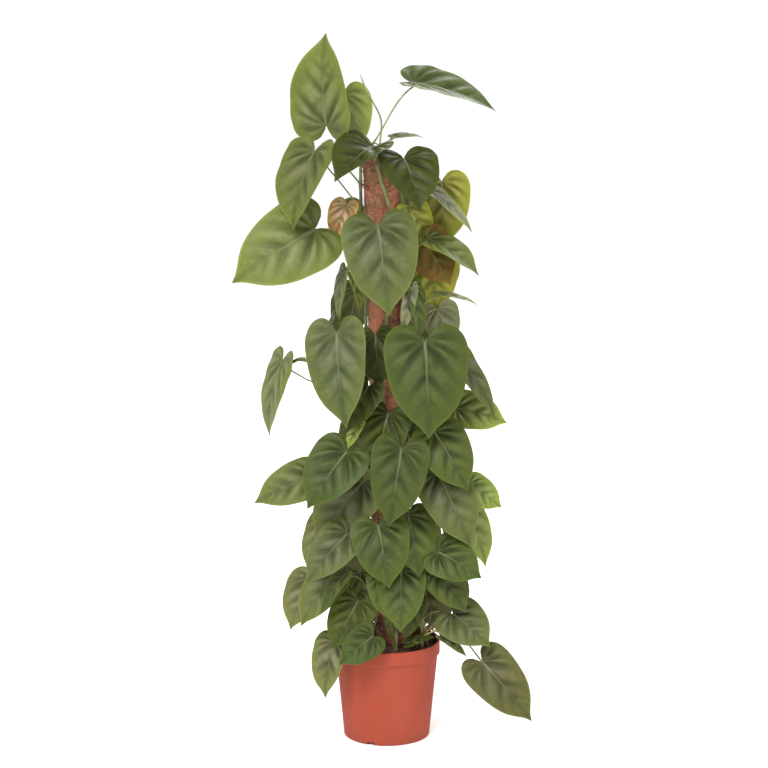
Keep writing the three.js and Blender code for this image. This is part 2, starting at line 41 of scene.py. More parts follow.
# Pot
POT_HEIGHT = 175
RIM_RADIUS = 95
RIM_BAND_BOTTOM = 150
FOOT_RADIUS = 76.8
NECK_RADIUS = 91.2
INNER_FOOT_RADIUS = 74.9
INNER_LIP_RADIUS = 91.7
FLOOR_TOP = 6.5
FLOOR_UNDERSIDE = 3.5
CENTRE_FOOT_RADIUS = 15
FOOT_RING_INNER = 65
FOOT_ROUND = 2.3
RIM_ROUND = 1.2
DRAIN_HOLES = 8
DRAIN_HOLE_RADIUS = 5
DRAIN_CIRCLE = 48
DRAIN_CUT = (-5, 11.5)
DRAIN_SIDES = 28
NOTCHES = 3
NOTCH_SIZE = (20, 13, 10)
NOTCH_TURN = 8
PANEL_BEARINGS = (64, -56, 184)
PANEL_HALF_ANGLE = 12
PANEL_HEIGHTS = (98, 144)
PANEL_DEPTH = 0.8
PANEL_RAMP = 2.5
PANEL_EDGE = 1.5
FOOT_DRAFT = 1.5
WALL_LEVELS = 30
INNER_LEVELS = (160, 140, 110, 80, 50, 20)
TURN_STEP = 1.8
POT_SHARP = 40
SLACK = 0.01

# Soil
SOIL_EDGE = 162
SOIL_MOUND = 12
SOIL_TOP = SOIL_EDGE + SOIL_MOUND
SOIL_WALL_GAP = 0.4
SOIL_BOTTOM = 6.8
SOIL_RINGS = 56
SOIL_COLUMNS = 140
CLODS = 520
CLOD_SIDES = 7
CLOD_SIZES = (1, 3.6)
CLOD_SPREAD = 0.96

# Pole: its axis leans a little to the left
POLE_FOOT_X = 18.5
POLE_LEAN = -0.0286
SLEEVE_RADIUS = 30
SLEEVE_BOTTOM = 135
SLEEVE_TOP = 1036
SLEEVE_LUMP = 1.3
SLEEVE_ROUND = 6
SLEEVE_LEVELS = 330
SLEEVE_COLUMNS = 84
FIBRES = 4200
FIBRE_POINTS = 6
FIBRE_SIDES = 3
FIBRE_RADII = (0.2, 0.42)
FIBRE_TURN = (0.15, 0.9)
FIBRE_CLIMB = 14
FIBRE_SWAY = 3
CLOSE_SHARE = 0.85
CLOSE_LIFT = (0.2, 2.2)
LOOSE_LIFT = (2, 4.5)

# Stems, petioles, roots and thin rods
CURVE_SAMPLES = 60
STEM_RADIUS = 3.4
STEM_REACH = 36.5
STEM_ROOT_HEIGHTS = (102, 132)
STEM_STRAIGHT = 18
STEM_STEPS = 400
STEM_SKIP = 2
STEM_SIDES = 14
LOWEST_NODE = 205
TOP_NODE = 4
NODE_SPAN = 5
NODE_SWELL = 0.3
ROOTS_AT_NODE = 3
ROOT_TURN = (0.35, 0.9)
ROOT_DROP = (-16, 6)
ROOT_POINTS = 12
ROOT_SIDES = 6
ROD_STEPS = 10
ROD_SIDES = 8
PETIOLE_STEPS = 26
PETIOLE_SIDES = 10
PETIOLE_RADIUS = 1.7
PETIOLE_SEAT = 0.06
PETIOLE_RISE = 22
PETIOLE_SLOPE = 0.45
PETIOLE_OUT = 0.22
PETIOLE_UP = 0.28
PETIOLE_CLEAR = 0.5
PETIOLE_ALONG = 0.45
PETIOLE_BEHIND = 0.6
PETIOLE_BEND = 0.3

# Blade outline and form, with its length as 1; angles are in radians, thicknesses in millimetres
BLADE_BODY = 0.42
BLADE_POINT = 0.44
BLADE_TAPER = 0.64
BLADE_TAPER_POWER = 1.8
BLADE_DRIP = 0.14
DRIP_TAPER = 0.07
SINUS_ANGLE = 2.705
SINUS_POWER = 3
SINUS_SHARE = 0.995
FULL_WIDTH = 0.785
BLADE_ARCH = 0.2
BLADE_CUP = 0.3
FOLD_SOFTNESS = 0.02
TIP_START = 0.72
TIP_CURL = 0.3
TIP_CURL_SPREAD = 0.15
WAVES = 5
WAVE_HEIGHT = 0.009
WAVE_SPREAD = 0.005
RIPPLES = 11
RIPPLE_HEIGHT = 0.005
BEND = 0.03
TWIST = 0.03
BLADE_THICKNESS = 0.9
EDGE_THICKNESS = 0.45
BLADE_SPOKES = 64
SPOKE_POWER = 1.2
BLADE_RINGS = 26

# Veins: slope and curve of the side veins, their spacing along the midrib and round the petiole,
# and how high and from what room on the blade swells between them
VEIN_SLOPE = 0.95
VEIN_CURVE = 1
VEIN_RATIO = 0.64
BASAL_STEP = math.radians(34)
QUILT = 0.034
QUILT_ROOM = 0.14

# Leaf rows: petiole end, tip, bearing and tilt of the upper face in degrees (0 looks to the front,
# 90 to the right), width as a fraction of the length, fold along the midrib, and the leaf's look
LEFT_LEAVES = [
    ((-105, -6, 1088), (-105, 0, 1245), -38, -5, 0.84, 0.35, "fresh"),
    ((-124, -50, 1046), (-164, -80, 915), -45, 15, 0.86, 0.3, "fresh"),
    ((-123, -50, 914), (-264, -75, 822), -10, 15, 0.82, 0.15, "fresh"),
    ((-73, -30, 837), (-81, -32, 742), -70, 10, 0.6, 0.2, "fresh"),
    ((-60, -45, 834), (-45, -50, 768), 66, 10, 0.6, 0.2, "bright_lit"),
    ((-86, -90, 739), (-74, -115, 578), -15, 10, 0.66, 0.3, "grey"),
    ((-184, 0, 678), (-209, -10, 545), -70, 10, 0.95, 0.15, "fresh"),
    ((-32, -70, 645), (-68, -90, 568), -20, 15, 0.8, 0.2, "dark"),
    ((-48, -70, 580), (-68, -78, 535), -40, 20, 0.6, 0.2, "bright_lit"),
    ((-70, -85, 532), (-138, -111, 438), -20, 15, 0.88, 0.25, "green"),
    ((-130, 0, 472), (-235, -10, 424), -15, 30, 0.72, 0.2, "fresh"),
    ((-43, -54, 472), (-127, -46, 356), -20, 15, 0.76, 0.2, "grey"),
    ((-68, -82, 388), (-142, -110, 306), -15, 25, 0.7, 0.2, "grey"),
    ((-108, -10, 395), (-142, -25, 305), -40, 10, 0.7, 0.2, "olive"),
    ((-135, -20, 290), (-172, -45, 204), -30, 10, 0.84, 0.2, "worn"),
    ((-90, -60, 315), (-150, -85, 221), -30, 20, 0.7, 0.2, "grey"),
    ((-75, -95, 315), (-115, -112, 250), -50, 20, 0.5, 0.2, "green"),
    ((-51, -76, 264), (-94, -99, 184), -5, 15, 0.84, 0.2, "deep"),
    ((-25, -105, 209), (-84, -129, 167), 0, 20, 0.84, 0.2, "green"),
    ((-92, -60, 187), (-111, -90, 93), -30, 10, 0.7, 0.35, "worn"),
    ((-70, -22, 953), (-90, -38, 892), -25, 10, 0.82, 0.3, "tan"),
    ((-96, 8, 746), (-118, 8, 640), -86, 15, 0.8, 0.2, "green"),
    ((-47, -40, 302), (-35, -48, 237), -10, 15, 0.8, 0.2, "fresh"),
]
FRONT_LEAVES = [
    ((-27, -48, 1053), (-85, -140, 1002), 5, 63, 0.74, 0.58, "dark"),
    ((-74, 26, 1140), (-60, 16, 1034), 150, 10, 0.95, 0.2, "bright_lit"),
    ((46, -10, 1161), (188, 0, 1114), 0, 70, 0.76, 0.35, "green"),
    ((12, -10, 1069), (64, 10, 1068), 0, 70, 0.4, 0.2, "grey"),
    ((-15, -75, 920), (5, -110, 770), 0, 15, 0.84, 0.2, "grey"),
    ((-20, -48, 730), (-10, -60, 640), -20, 15, 0.8, 0.2, "dark"),
    ((2, -66, 595), (-25, -88, 485), -10, 15, 0.75, 0.2, "dark"),
    ((25, -98, 540), (0, -128, 409), 5, 10, 0.74, 0.3, "green"),
    ((-15, -95, 405), (5, -125, 300), 0, 15, 0.92, 0.2, "green"),
    ((25, -75, 320), (25, -105, 215), 0, 15, 0.8, 0.2, "mid"),
    ((-5, -62, 311), (2, -84, 231), 0, 15, 0.78, 0.2, "fresh"),
    ((2, -80, 244), (11, -86, 192), -60, 20, 0.45, 0.2, "deep"),
]
RIGHT_LEAVES = [
    ((29, -55, 1034), (58, -125, 950), 15, 35, 0.92, 0.42, "dark"),
    ((95, 8, 991), (98, 8, 876), 170, 10, 0.86, 0.2, "backlit_lime"),
    ((75, -40, 980), (148, -45, 908), 60, 20, 0.4, 0.2, "silver"),
    ((71, -38, 896), (161, -50, 836), 40, 58, 0.74, 0.3, "fresh"),
    ((64, -26, 893), (111, -34, 816), 200, 10, 0.95, 0.2, "rust"),
    ((80, 16, 860), (82, 8, 757), 0, 10, 0.88, 0.2, "backlit_lime"),
    ((88, -48, 802), (160, -52, 782), 0, 80, 0.4, 0.2, "olive"),
    ((89, 0, 770), (110, 0, 700), 180, 0, 0.95, 0.2, "silver"),
    ((65, -90, 725), (68, -120, 560), 10, 10, 0.88, 0.2, "green"),
    ((45, -45, 815), (55, -60, 720), 60, 10, 0.6, 0.2, "mid"),
    ((109, -30, 707), (190, -40, 582), 55, 10, 0.45, 0.2, "grey"),
    ((122, -10, 596), (212, -20, 573), 0, 35, 0.82, 0.2, "bright_lit"),
    ((42, -50, 612), (58, -72, 530), 20, 15, 0.6, 0.2, "green"),
    ((82, -76, 565), (143, -98, 466), 15, 10, 0.8, 0.2, "green"),
    ((88, -62, 490), (149, -96, 366), 10, 10, 0.7, 0.2, "grey"),
    ((145, -20, 459), (204, -20, 421), 20, 20, 0.85, 0.2, "bright_lit"),
    ((133, -20, 425), (178, -30, 315), 40, 10, 0.65, 0.2, "bright_lit"),
    ((37, -68, 416), (56, -95, 312), 20, 10, 0.84, 0.2, "mid"),
    ((90, -88, 356), (164, -108, 314), 10, 25, 0.96, 0.2, "green"),
    ((88, -60, 318), (139, -85, 246), 20, 20, 0.85, 0.2, "mid"),
    ((41, -62, 813), (24, -72, 737), 20, 10, 0.34, 0.2, "silver"),
    ((68, -8, 262), (90, -18, 193), 10, 20, 0.7, 0.2, "spent"),
    ((86, 30, 396), (120, 36, 294), 98, 15, 0.8, 0.2, "green"),
    ((38, -16, 950), (76, 0, 888), 10, 10, 0.8, 0.2, "backlit_lime"),
]
RUNNER_LEAVES = [
    ((50, -60, 260), (30, -80, 195), 10, 20, 0.6, 0.2, "deep"),
    ((116, -62, 238), (180, -110, 192), 5, 30, 0.95, 0.2, "grey"),
    ((97, -74, 200), (141, -90, 168), 10, 60, 0.4, 0.2, "olive"),
    ((168, -90, 158), (254, -120, 62), 5, 20, 0.7, 0.2, "spent"),
    ((36, -74, 188), (84, -72, 200), 0, 60, 0.45, 0.2, "deep"),
]

# Stem rows: where a stem stands in the soil, then its points as bearing round the pole and height
STEMS = {
    "vine_left": (
        (-30, -22), ((-80, 235), (-60, 400), (-85, 600), (-65, 800), (-80, 960), (-70, 1030))),
    "vine_front": (
        (16, -52), ((0, 240), (12, 400), (-12, 600), (10, 800), (22, 940), (-2, 1000), (-25, 1060))),
    "vine_right": (
        (62, -8), ((75, 235), (60, 400), (80, 600), (62, 800), (72, 940), (60, 1010))),
    "vine_back": (
        (10, 50), ((180, 240), (165, 400), (190, 600), (170, 800), (185, 940), (175, 1015))),
}

# Thin rods among the leaves: points, radius at either end and how brown, from 0 to 1
RODS = {
    "vine_left": (
        (((-182, -2, 670), (-167, -14, 663), (-152, -30, 657), (-132, -62, 652), (-118, -70, 650)),
         1.5, 1.4, 0.1),
        (((-128, -62, 682), (-142, -36, 686), (-156, -20, 683), (-168, -10, 675), (-181, -3, 667)),
         5.0, 2.2, 0.4),
        (((-116, -46, 1040), (-100, -30, 1015), (-86, -22, 998), (-74, -22, 983), (-60, -20, 965),
          (-47, -8, 952)), 1.4, 1.4, 0.2),
    ),
    "vine_front": (
        (((-12, -34, 1056), (-10, -30, 1098), (-25, -26, 1130), (-36, -24, 1150)), 1.5, 1.4, 0),
        (((-33, -24.5, 1144), (-40, -23, 1160), (-46, -22, 1176)), 2.4, 0.4, 0.1),
        (((-5, -38, 262), (-19, -52, 224), (-24, -58, 196), (-14, -62, 160)), 1.4, 0.7, 0.6),
        (((-5, -38, 250), (6, -50, 205), (9, -56, 187), (18, -60, 158)), 1.3, 0.6, 0.9),
    ),
    "vine_right": (
        (((38, -14, 224), (53, -50, 210), (62, -58, 225), (76, -62, 239), (95, -62, 243)), 1.3, 0.8, 0.8),
        (((38, -12, 262), (52, -30, 232), (66, -36, 215), (73, -42, 172)), 1.4, 0.7, 1.0),
        (((50, 0, 160), (63, 8, 181), (73, 12, 194), (83, 10, 198), (91, 0, 186)), 2.6, 1.4, 0.8),
        (((60, 16, 158), (69, 14, 176), (79, 8, 190), (87, -6, 189)), 2.4, 1.6, 0.9),
    ),
}

# Short shoot over the rim: where it stands, its points, its straight foot and where its leaves start
RUNNER_ROOT = (62, -34)
RUNNER_POINTS = ((71, -41, 203), (88, -52, 212), (108, -64, 206))
RUNNER_STRAIGHT = 9
RUNNER_STEPS = 200
RUNNER_FIRST_NODE = 0.66
RUNNER_NODE_STEP = 0.08

# Leaves of the far side, by rule; their form is tilt, width and fold
BACK_LEAVES = 17
BACK_SEED = 73
BACK_HEIGHTS = (222, 990)
BACK_BEARING = 172
BACK_SPREAD = 52
GOLDEN_TURN = 0.618
BACK_REACH = (84, 112)
BACK_LENGTH = (100, 145)
BACK_DROOP = (52, 74)
BACK_SWING = 20
BACK_FORM = (15, 0.82, 0.2)
BACK_LOOKS = ("green", "dark", "green", "grey", "fresh")

# Upper face colour in 8-bit sRGB, how aged the leaf is and how much light comes through it, from 0 to 1;
# that light is painted, as an underside that keeps the upper face's colour
LOOKS = {
    "fresh": ((76, 84, 36), 0, 0.6),
    # Painted light: a bright yellow-green that stands for leaves lit from behind
    "backlit_lime": ((122, 124, 44), 0, 1),
    "green": ((49, 60, 17), 0, 0.2),
    "grey": ((70, 76, 38), 0, 0.1),
    "dark": ((40, 48, 2), 0, 0.1),
    "deep": ((50, 57, 9), 0, 0.2),
    "olive": ((82, 86, 44), 0.05, 0.4),
    "worn": ((82, 86, 48), 0.15, 0.1),
    "spent": ((66, 67, 31), 0.32, 0.1),
    "mid": ((59, 70, 24), 0, 0.2),
    # Partly painted light: a paler leaf green that also lifts leaves which sit in shade
    "bright_lit": ((102, 112, 52), 0, 0.6),
    "silver": ((106, 108, 80), 0, 0.1),
    "tan": ((156, 136, 86), 0.6, 0.6),
    "rust": ((88, 72, 14), 0.6, 0.9),
}

# Stage: how far the floor reaches, and lights with place, width, power and colour, in metres and watts
FLOOR_REACH = 40
LIGHT_TARGET = (0, 0, 0.65)
LIGHTS = {
    "key": ((-2.2, -4.6, 5.4), 2.6, 460, (1, 0.98, 0.95)),
    "fill": ((4, -3.6, 2), 3, 60, (0.96, 0.98, 1)),
    "back": ((1.4, 4.8, 4.2), 3, 180, (1, 0.99, 0.96)),
}
SURROUND = 1.06

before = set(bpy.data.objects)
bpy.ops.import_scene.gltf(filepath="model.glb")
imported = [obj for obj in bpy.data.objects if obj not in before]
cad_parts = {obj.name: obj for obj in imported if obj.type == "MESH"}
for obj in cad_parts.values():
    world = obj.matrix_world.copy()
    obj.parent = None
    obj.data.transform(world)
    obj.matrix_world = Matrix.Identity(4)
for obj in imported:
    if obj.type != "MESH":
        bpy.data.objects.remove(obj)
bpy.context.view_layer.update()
rng = np.random.default_rng(SEED)


def linear(red, green, blue):
    """An 8-bit sRGB colour as linear red, green and blue."""
    values = np.array((red, green, blue)) / 255
    values = np.where(values <= 0.04045, values / 12.92, ((values + 0.055) / 1.055) ** 2.4)
    return tuple(values.tolist())


def unit(vector):
    return vector / np.linalg.norm(vector)


def full_turn(steps):
    """Angles in even steps round a circle."""
    return np.linspace(0, 2 * math.pi, steps, endpoint=False)


def new_object(name, data):
    """An object that is in the scene."""
    made = bpy.data.objects.new(name, data)
    bpy.context.scene.collection.objects.link(made)
    return made


# Meshes

class Batch:
    """Points, faces and point fields of many small shapes that become one object."""

    def __init__(self):
        self.points = []
        self.faces = []
        self.fields = {}
        self.count = 0

    def add(self, points, faces, **fields):
        self.points.append(points)
        self.faces.extend(tuple(i + self.count for i in face) for face in faces)
        for name, values in fields.items():
            values = np.asarray(values, float)
            if values.ndim == 1:
                values = np.tile(values, (len(points), 1))
            self.fields.setdefault(name, []).append(values)
        self.count += len(points)

    def piece(self, name, nodes, slot, material, sharp=55):
        """One object in metres that stands for the frame's nodes."""
        mesh = bpy.data.meshes.new(name)
        mesh.from_pydata((np.concatenate(self.points) * MM).tolist(), [], self.faces)
        for field, parts in self.fields.items():
            made = mesh.attributes.new(field, "FLOAT_VECTOR", "POINT")
            made.data.foreach_set("vector", np.concatenate(parts).astype(np.float32).ravel())
        mesh.materials.append(material)
        finish_mesh(mesh, sharp)
        piece = new_object(name, mesh)
        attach(piece, "root")
        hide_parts(*nodes)
        return piece


def finish_mesh(mesh, sharp):
    """Smooth shading, with edges over an angle left sharp."""
    mesh.polygons.foreach_set("use_smooth", [True] * len(mesh.polygons))
    mesh.set_sharp_from_angle(angle=math.radians(sharp))
    mesh.update()


def skin(rings, columns):
    """Faces that join rings of points in order, and close both ends onto the two points after them."""
    low, high, last = rings * columns, rings * columns + 1, (rings - 1) * columns
    faces = []
    for start in range(0, last, columns):
        for j in range(columns):
            a, b = start + j, start + (j + 1) % columns
            faces.append((a, b, b + columns, a + columns))
    for j in range(columns):
        k = (j + 1) % columns
        faces.append((low, k, j))
        faces.append((high, last + j, last + k))
    return faces


def add_tube(batch, line, radii, sides, joint=0, brown=0):
    """A round rod with closed ends; its field is the share along it, its joints or tone, and its brown."""
    tangents = np.gradient(line, axis=0)
    tangents /= np.linalg.norm(tangents, axis=1)[:, None]
    side = np.cross(tangents[0], (0, 0, 1) if abs(tangents[0][2]) < 0.9 else (1, 0, 0))
    turns = full_turn(sides)
    rings = []
    for place, tangent, radius in zip(line, tangents, radii):
        side = unit(side - tangent * side.dot(tangent))
        up = np.cross(tangent, side)
        rings.append(place + radius * (np.outer(np.cos(turns), side) + np.outer(np.sin(turns), up)))
    points = np.concatenate(rings + [line[:1], line[-1:]])
    field = np.column_stack(np.broadcast_arrays(np.linspace(0, 1, len(line)), joint, brown))
    field = np.concatenate((np.repeat(field, sides, axis=0), field[[0, -1]]))
    batch.add(points, skin(len(line), sides), rod=field)


def turned(profile, turns):
    """Points and faces of a profile of (radius, height) turned about Z, with its ends on the axis."""
    profile = np.asarray(profile, float)
    inner = profile[1:-1]
    radius = np.repeat(inner[:, 0], len(turns))
    height = np.repeat(inner[:, 1], len(turns))
    angle = np.tile(turns, len(inner))
    ring = np.column_stack((radius * np.sin(angle), -radius * np.cos(angle), height))
    points = np.concatenate((ring, [(0, 0, profile[0, 1]), (0, 0, profile[-1, 1])]))
    return points, skin(len(inner), len(turns))


def arc(centre, radius, start, end, steps):
    """Points of a profile along an arc, with angles in degrees from the outward direction."""
    angles = np.radians(np.linspace(start, end, steps + 1))
    return [(centre[0] + radius * math.cos(a), centre[1] + radius * math.sin(a)) for a in angles]


# Materials

class Shading:
    """A node material under construction, with one method for each kind of step."""

    def __init__(self, name):
        self.material = bpy.data.materials.new(name)
        self.material.use_nodes = True
        self.tree = self.material.node_tree
        self.shader = self.tree.nodes["Principled BSDF"]

    def feed(self, socket, value):
        """Links an output to the socket or sets its value; None leaves it as it is."""
        if isinstance(value, bpy.types.NodeSocket):
            self.tree.links.new(value, socket)
        elif value is not None:
            socket.default_value = value

    def node(self, kind, *inputs, **settings):
        made = self.tree.nodes.new(kind)
        for key, value in settings.items():
            setattr(made, key, value)
        for socket, value in zip(made.inputs, inputs):
            self.feed(socket, value)
        return made

    def math(self, operation, *inputs):
        return self.node("ShaderNodeMath", *inputs, operation=operation).outputs[0]

    def times(self, a, b):
        return self.math("MULTIPLY", a, b)

    def off_whole(self, value):
        """How far the value is from the nearest whole number."""
        return self.math("ABSOLUTE", self.math("SUBTRACT", value, self.math("ROUND", value)))

    def rescale(self, value, start, end, low, high):
        """Low at the start and high at the end, in a straight line between them."""
        return self.node("ShaderNodeMapRange", value, start, end, low, high).outputs[0]

    def mix(self, factor, a, b):
        made = self.node("ShaderNodeMix", factor, data_type="RGBA")
        for place, value in ((6, a), (7, b)):
            self.feed(made.inputs[place], (*value, 1) if isinstance(value, tuple) else value)
        return made.outputs[2]

    def product(self, a, b):
        """Two colours or places multiplied part by part."""
        return self.node("ShaderNodeVectorMath", a, b, operation="MULTIPLY").outputs[0]

    def tint(self, colour, factor, amount):
        """The colour multiplied by a grey, from 1 to the amount as the factor goes from 0 to 1."""
        return self.product(colour, self.rescale(factor, 0, 1, 1, amount))

    def dye(self, colour, factor, amount):
        """The colour multiplied by a tint that grows with the factor."""
        return self.product(colour, self.mix(factor, (1, 1, 1), amount))

    def step(self, value, start, end):
        """0 before the start and 1 after the end, smooth between them."""
        ends = (start, end, 0, 1)
        return self.node("ShaderNodeMapRange", value, *ends, interpolation_type="SMOOTHSTEP").outputs[0]

    def field(self, name):
        """The three values of a point field."""
        made = self.node("ShaderNodeAttribute", attribute_name=name)
        return self.node("ShaderNodeSeparateXYZ", made.outputs["Vector"]).outputs

    def place(self, stretch=(1, 1, 1)):
        """The place on the object in metres, stretched."""
        return self.product(self.node("ShaderNodeTexCoord").outputs["Object"], stretch)

    def height(self):
        """The height above the floor in metres."""
        return self.node("ShaderNodeSeparateXYZ", self.place()).outputs[2]

    def noise(self, place, scale, detail=4, roughness=0.55):
        return self.node("ShaderNodeTexNoise", place, None, scale, detail, roughness).outputs["Fac"]

    def voronoi(self, place, scale):
        return self.node("ShaderNodeTexVoronoi", place, None, scale).outputs["Distance"]

    def finish(self, colour, roughness, height, depth, strength=0.6):
        """Wires colour, roughness and relief; the depth is in millimetres."""
        bump = self.node("ShaderNodeBump")
        self.feed(bump.inputs["Strength"], strength)
        self.feed(bump.inputs["Distance"], depth * MM)
        self.feed(bump.inputs["Height"], height)
        self.feed(self.shader.inputs["Normal"], bump.outputs[0])
        self.feed(self.shader.inputs["Base Color"], colour)
        self.feed(self.shader.inputs["Roughness"], roughness)
        return self.material


def leaf_material():
    """Satin leaf in each leaf's colour, a pale midrib and a greyer underside, with painted shade in the
    furrows, painted highlights on the ridges and along the margin, and painted light through the leaf on
    its underside.
    """
    s = Shading("leaf")
    shade = s.node("ShaderNodeAttribute", attribute_name="shade").outputs["Vector"]
    along, across, reach = s.field("blade")
    line, gap, upper = s.field("veins")
    age, tone, glow = s.field("life")
    place = s.place()

    nearest = s.off_whole(line)
    distance = s.times(nearest, gap)
    patch = s.noise(place, 17, 2)
    inward = s.step(reach, 1.02, 0.35)
    room = s.times(s.step(gap, 0.02, 0.13), inward)
    ridge = s.times(s.step(nearest, 0, 0.42), room)
    # Painted shade: the furrows along the side veins and beside the midrib are darkened
    furrow_shade = s.times(s.step(nearest, 0.32, 0), room)
    furrow_shade = s.math("MAXIMUM", furrow_shade, s.times(s.step(across, 0.055, 0), 0.6))
    furrow_shade = s.times(furrow_shade, s.rescale(patch, 0.38, 0.6, 0.42, 1))
    side_vein = s.times(s.step(distance, 0.01, 0.001), inward)
    fine_near = s.off_whole(s.times(line, 5))
    fine_vein = s.step(s.times(fine_near, gap), 0.012, 0.002)
    rib_width = s.rescale(along, 0, 1, 0.026, 0.004)
    rib = s.step(s.math("DIVIDE", across, rib_width), 1, 0.2)

    blotch = s.noise(place, 30, 3)
    mottle = s.noise(place, 120, 4)
    grain = s.noise(place, 420, 3)
    outward = s.step(s.math("ADD", reach, s.times(blotch, 0.8)), 0.9, 1.45)
    # Painted highlight: a pale grey sheen on the ridges between the veins
    ridge_highlight = s.times(ridge, s.step(blotch, 0.34, 0.54))
    colour = s.dye(shade, s.step(reach, 0.7, 0.1), (0.86, 0.84, 0.9))
    colour = s.dye(colour, outward, (1.22, 1.24, 0.92))
    colour = s.dye(colour, s.step(mottle, 0.45, 0.7), (1.15, 1.12, 1.2))
    colour = s.dye(colour, furrow_shade, (0.32, 0.4, 0.24))
    colour = s.dye(colour, ridge_highlight, (1.62, 1.5, 2.5))
    colour = s.dye(colour, fine_vein, (1.08, 1.07, 1.08))
    colour = s.dye(colour, side_vein, (1.2, 1.16, 1.3))
    # Painted highlight: a thin pale band along the margin
    colour = s.dye(colour, s.step(reach, 0.95, 0.985), (1.3, 1.26, 1.3))
    pale_rib = s.rescale(along, 0, 0.7, 0.5, 0.05)
    colour = s.mix(s.times(rib, pale_rib), colour, linear(116, 122, 84))

    stain = s.noise(place, 95, 5, 0.65)
    spread = s.math("ADD", s.times(reach, 0.32), stain)
    limit = s.rescale(age, 0, 1, 0.97, 0.55)
    browned = s.step(s.math("SUBTRACT", spread, limit), -0.05, 0.14)
    browned = s.times(browned, s.step(age, 0, 0.25))
    colour = s.dye(colour, browned, (0.95, 0.62, 0.55))

    # Painted light through the leaf: the more glow, the more the underside keeps the upper face's colour
    # instead of a pale grey-green
    pale = s.rescale(glow, 0, 1, 0.55, 0.05)
    under = s.mix(pale, colour, linear(120, 124, 76))
    under = s.mix(s.times(rib, 0.4), under, linear(132, 138, 92))
    colour = s.mix(upper, under, colour)
    colour = s.tint(colour, grain, 0.88)
    colour = s.tint(colour, tone, 1.25)

    gloss = s.rescale(upper, 0, 1, 0.68, 0.5)
    roughness = s.math("ADD", gloss, s.times(s.math("SUBTRACT", mottle, 0.5), 0.4))
    relief = s.math("ADD", ridge, s.times(mottle, 0.2))
    relief = s.math("SUBTRACT", relief, s.times(fine_vein, 0.05))
    facing = s.rescale(upper, 0, 1, -1, 1)
    relief = s.times(relief, facing)
    s.shader.inputs["Specular IOR Level"].default_value = 0.2
    s.shader.inputs["Subsurface Weight"].default_value = 0.08
    s.shader.inputs["Subsurface Radius"].default_value = (0.002, 0.003, 0.0008)
    return s.finish(colour, roughness, relief, depth=1.6, strength=1)


def stem_material():
    """Green stems and petioles that turn brown at the nodes, and brown roots."""
    s = Shading("stem")
    _, joint, dry = s.field("rod")
    streak = s.noise(s.place((1, 1, 0.12)), 900, 3)
    blotch = s.noise(s.place(), 60, 4)
    green = s.mix(s.step(blotch, 0.35, 0.65), linear(92, 108, 52), linear(134, 140, 84))
    brown = s.mix(s.step(blotch, 0.3, 0.7), linear(84, 58, 40), linear(140, 104, 74))
    colour = s.mix(s.step(joint, 0.2, 0.8), green, brown)
    colour = s.mix(dry, colour, brown)
    colour = s.tint(colour, streak, 0.72)
    return s.finish(colour, 0.5, streak, depth=0.5)


def coir_material():
    """Coconut fibre: red-brown strands crossing at a slant, over dark gaps, darker towards the bottom and
    with a painted shadow at the top.
    """
    s = Shading("coir")
    one = s.noise(s.place((1, 1, 0.18)), 520, 4, 0.6)
    two = s.noise(s.place((0.35, 0.35, 1)), 620, 4, 0.6)
    weave = s.math("MAXIMUM", one, two)
    patch = s.noise(s.place(), 26, 3)
    colour = s.mix(s.step(weave, 0.36, 0.66), linear(92, 58, 38), linear(188, 138, 106))
    colour = s.mix(s.times(s.step(patch, 0.42, 0.6), 0.62), colour, linear(190, 106, 84))
    height = s.height()
    # Darker towards the bottom, with a ragged edge
    darker_low = s.step(s.math("ADD", height, s.times(patch, 0.2)), 0.5, 0.3)
    colour = s.dye(colour, darker_low, (0.36, 0.34, 0.3))
    # Painted shadow: darker at the top of the sleeve, under the leaves that hang over it
    colour = s.dye(colour, s.step(height, 0.96, 1.03), (0.6, 0.56, 0.48))
    return s.finish(colour, 0.92, weave, depth=1.6, strength=0.9)


def fibre_material():
    """Loose coir fibres, each with its own shade."""
    s = Shading("fibre")
    _, tone, _ = s.field("rod")
    colour = s.mix(tone, linear(112, 74, 48), linear(214, 158, 122))
    grain = s.noise(s.place(), 800, 2)
    return s.finish(s.tint(colour, grain, 0.7), 0.85, grain, depth=0.2)


def pot_material():
    """Terracotta-coloured plastic: flow marks, scuffs, dust near the foot, and painted shade on the inner
    wall above the soil.
    """
    s = Shading("pot")
    flow = s.noise(s.place((1, 1, 0.08)), 70, 4)
    cloud = s.noise(s.place(), 14, 3)
    grain = s.noise(s.place(), 1500, 2)
    scuff = s.step(s.noise(s.place((1, 1, 0.25)), 210, 6, 0.7), 0.62, 0.74)
    height = s.height()
    dust = s.times(s.step(height, 0.03, 0), s.step(cloud, 0.35, 0.7))
    colour = s.mix(flow, linear(136, 50, 28), linear(148, 60, 38))
    colour = s.mix(s.times(s.step(cloud, 0.4, 0.75), 0.35), colour, linear(148, 70, 54))
    colour = s.mix(s.times(scuff, 0.2), colour, linear(168, 98, 82))
    colour = s.mix(s.times(dust, 0.5), colour, linear(122, 66, 50))
    radius = s.node("ShaderNodeVectorMath", s.place((1, 1, 0)), operation="LENGTH").outputs["Value"]
    # Painted shade: a dark band on the inner wall above the soil, where the wall is in shade
    inside = s.times(s.step(radius, 0.0927, 0.0919), s.step(height, 0.15, 0.153))
    colour = s.mix(s.times(inside, 0.85), colour, linear(64, 32, 20))
    roughness = s.math("ADD", s.times(cloud, 0.2), s.math("MULTIPLY_ADD", scuff, 0.2, 0.5))
    roughness = s.math("ADD", roughness, 0.3)
    return s.finish(colour, roughness, grain, depth=0.15, strength=0.35)


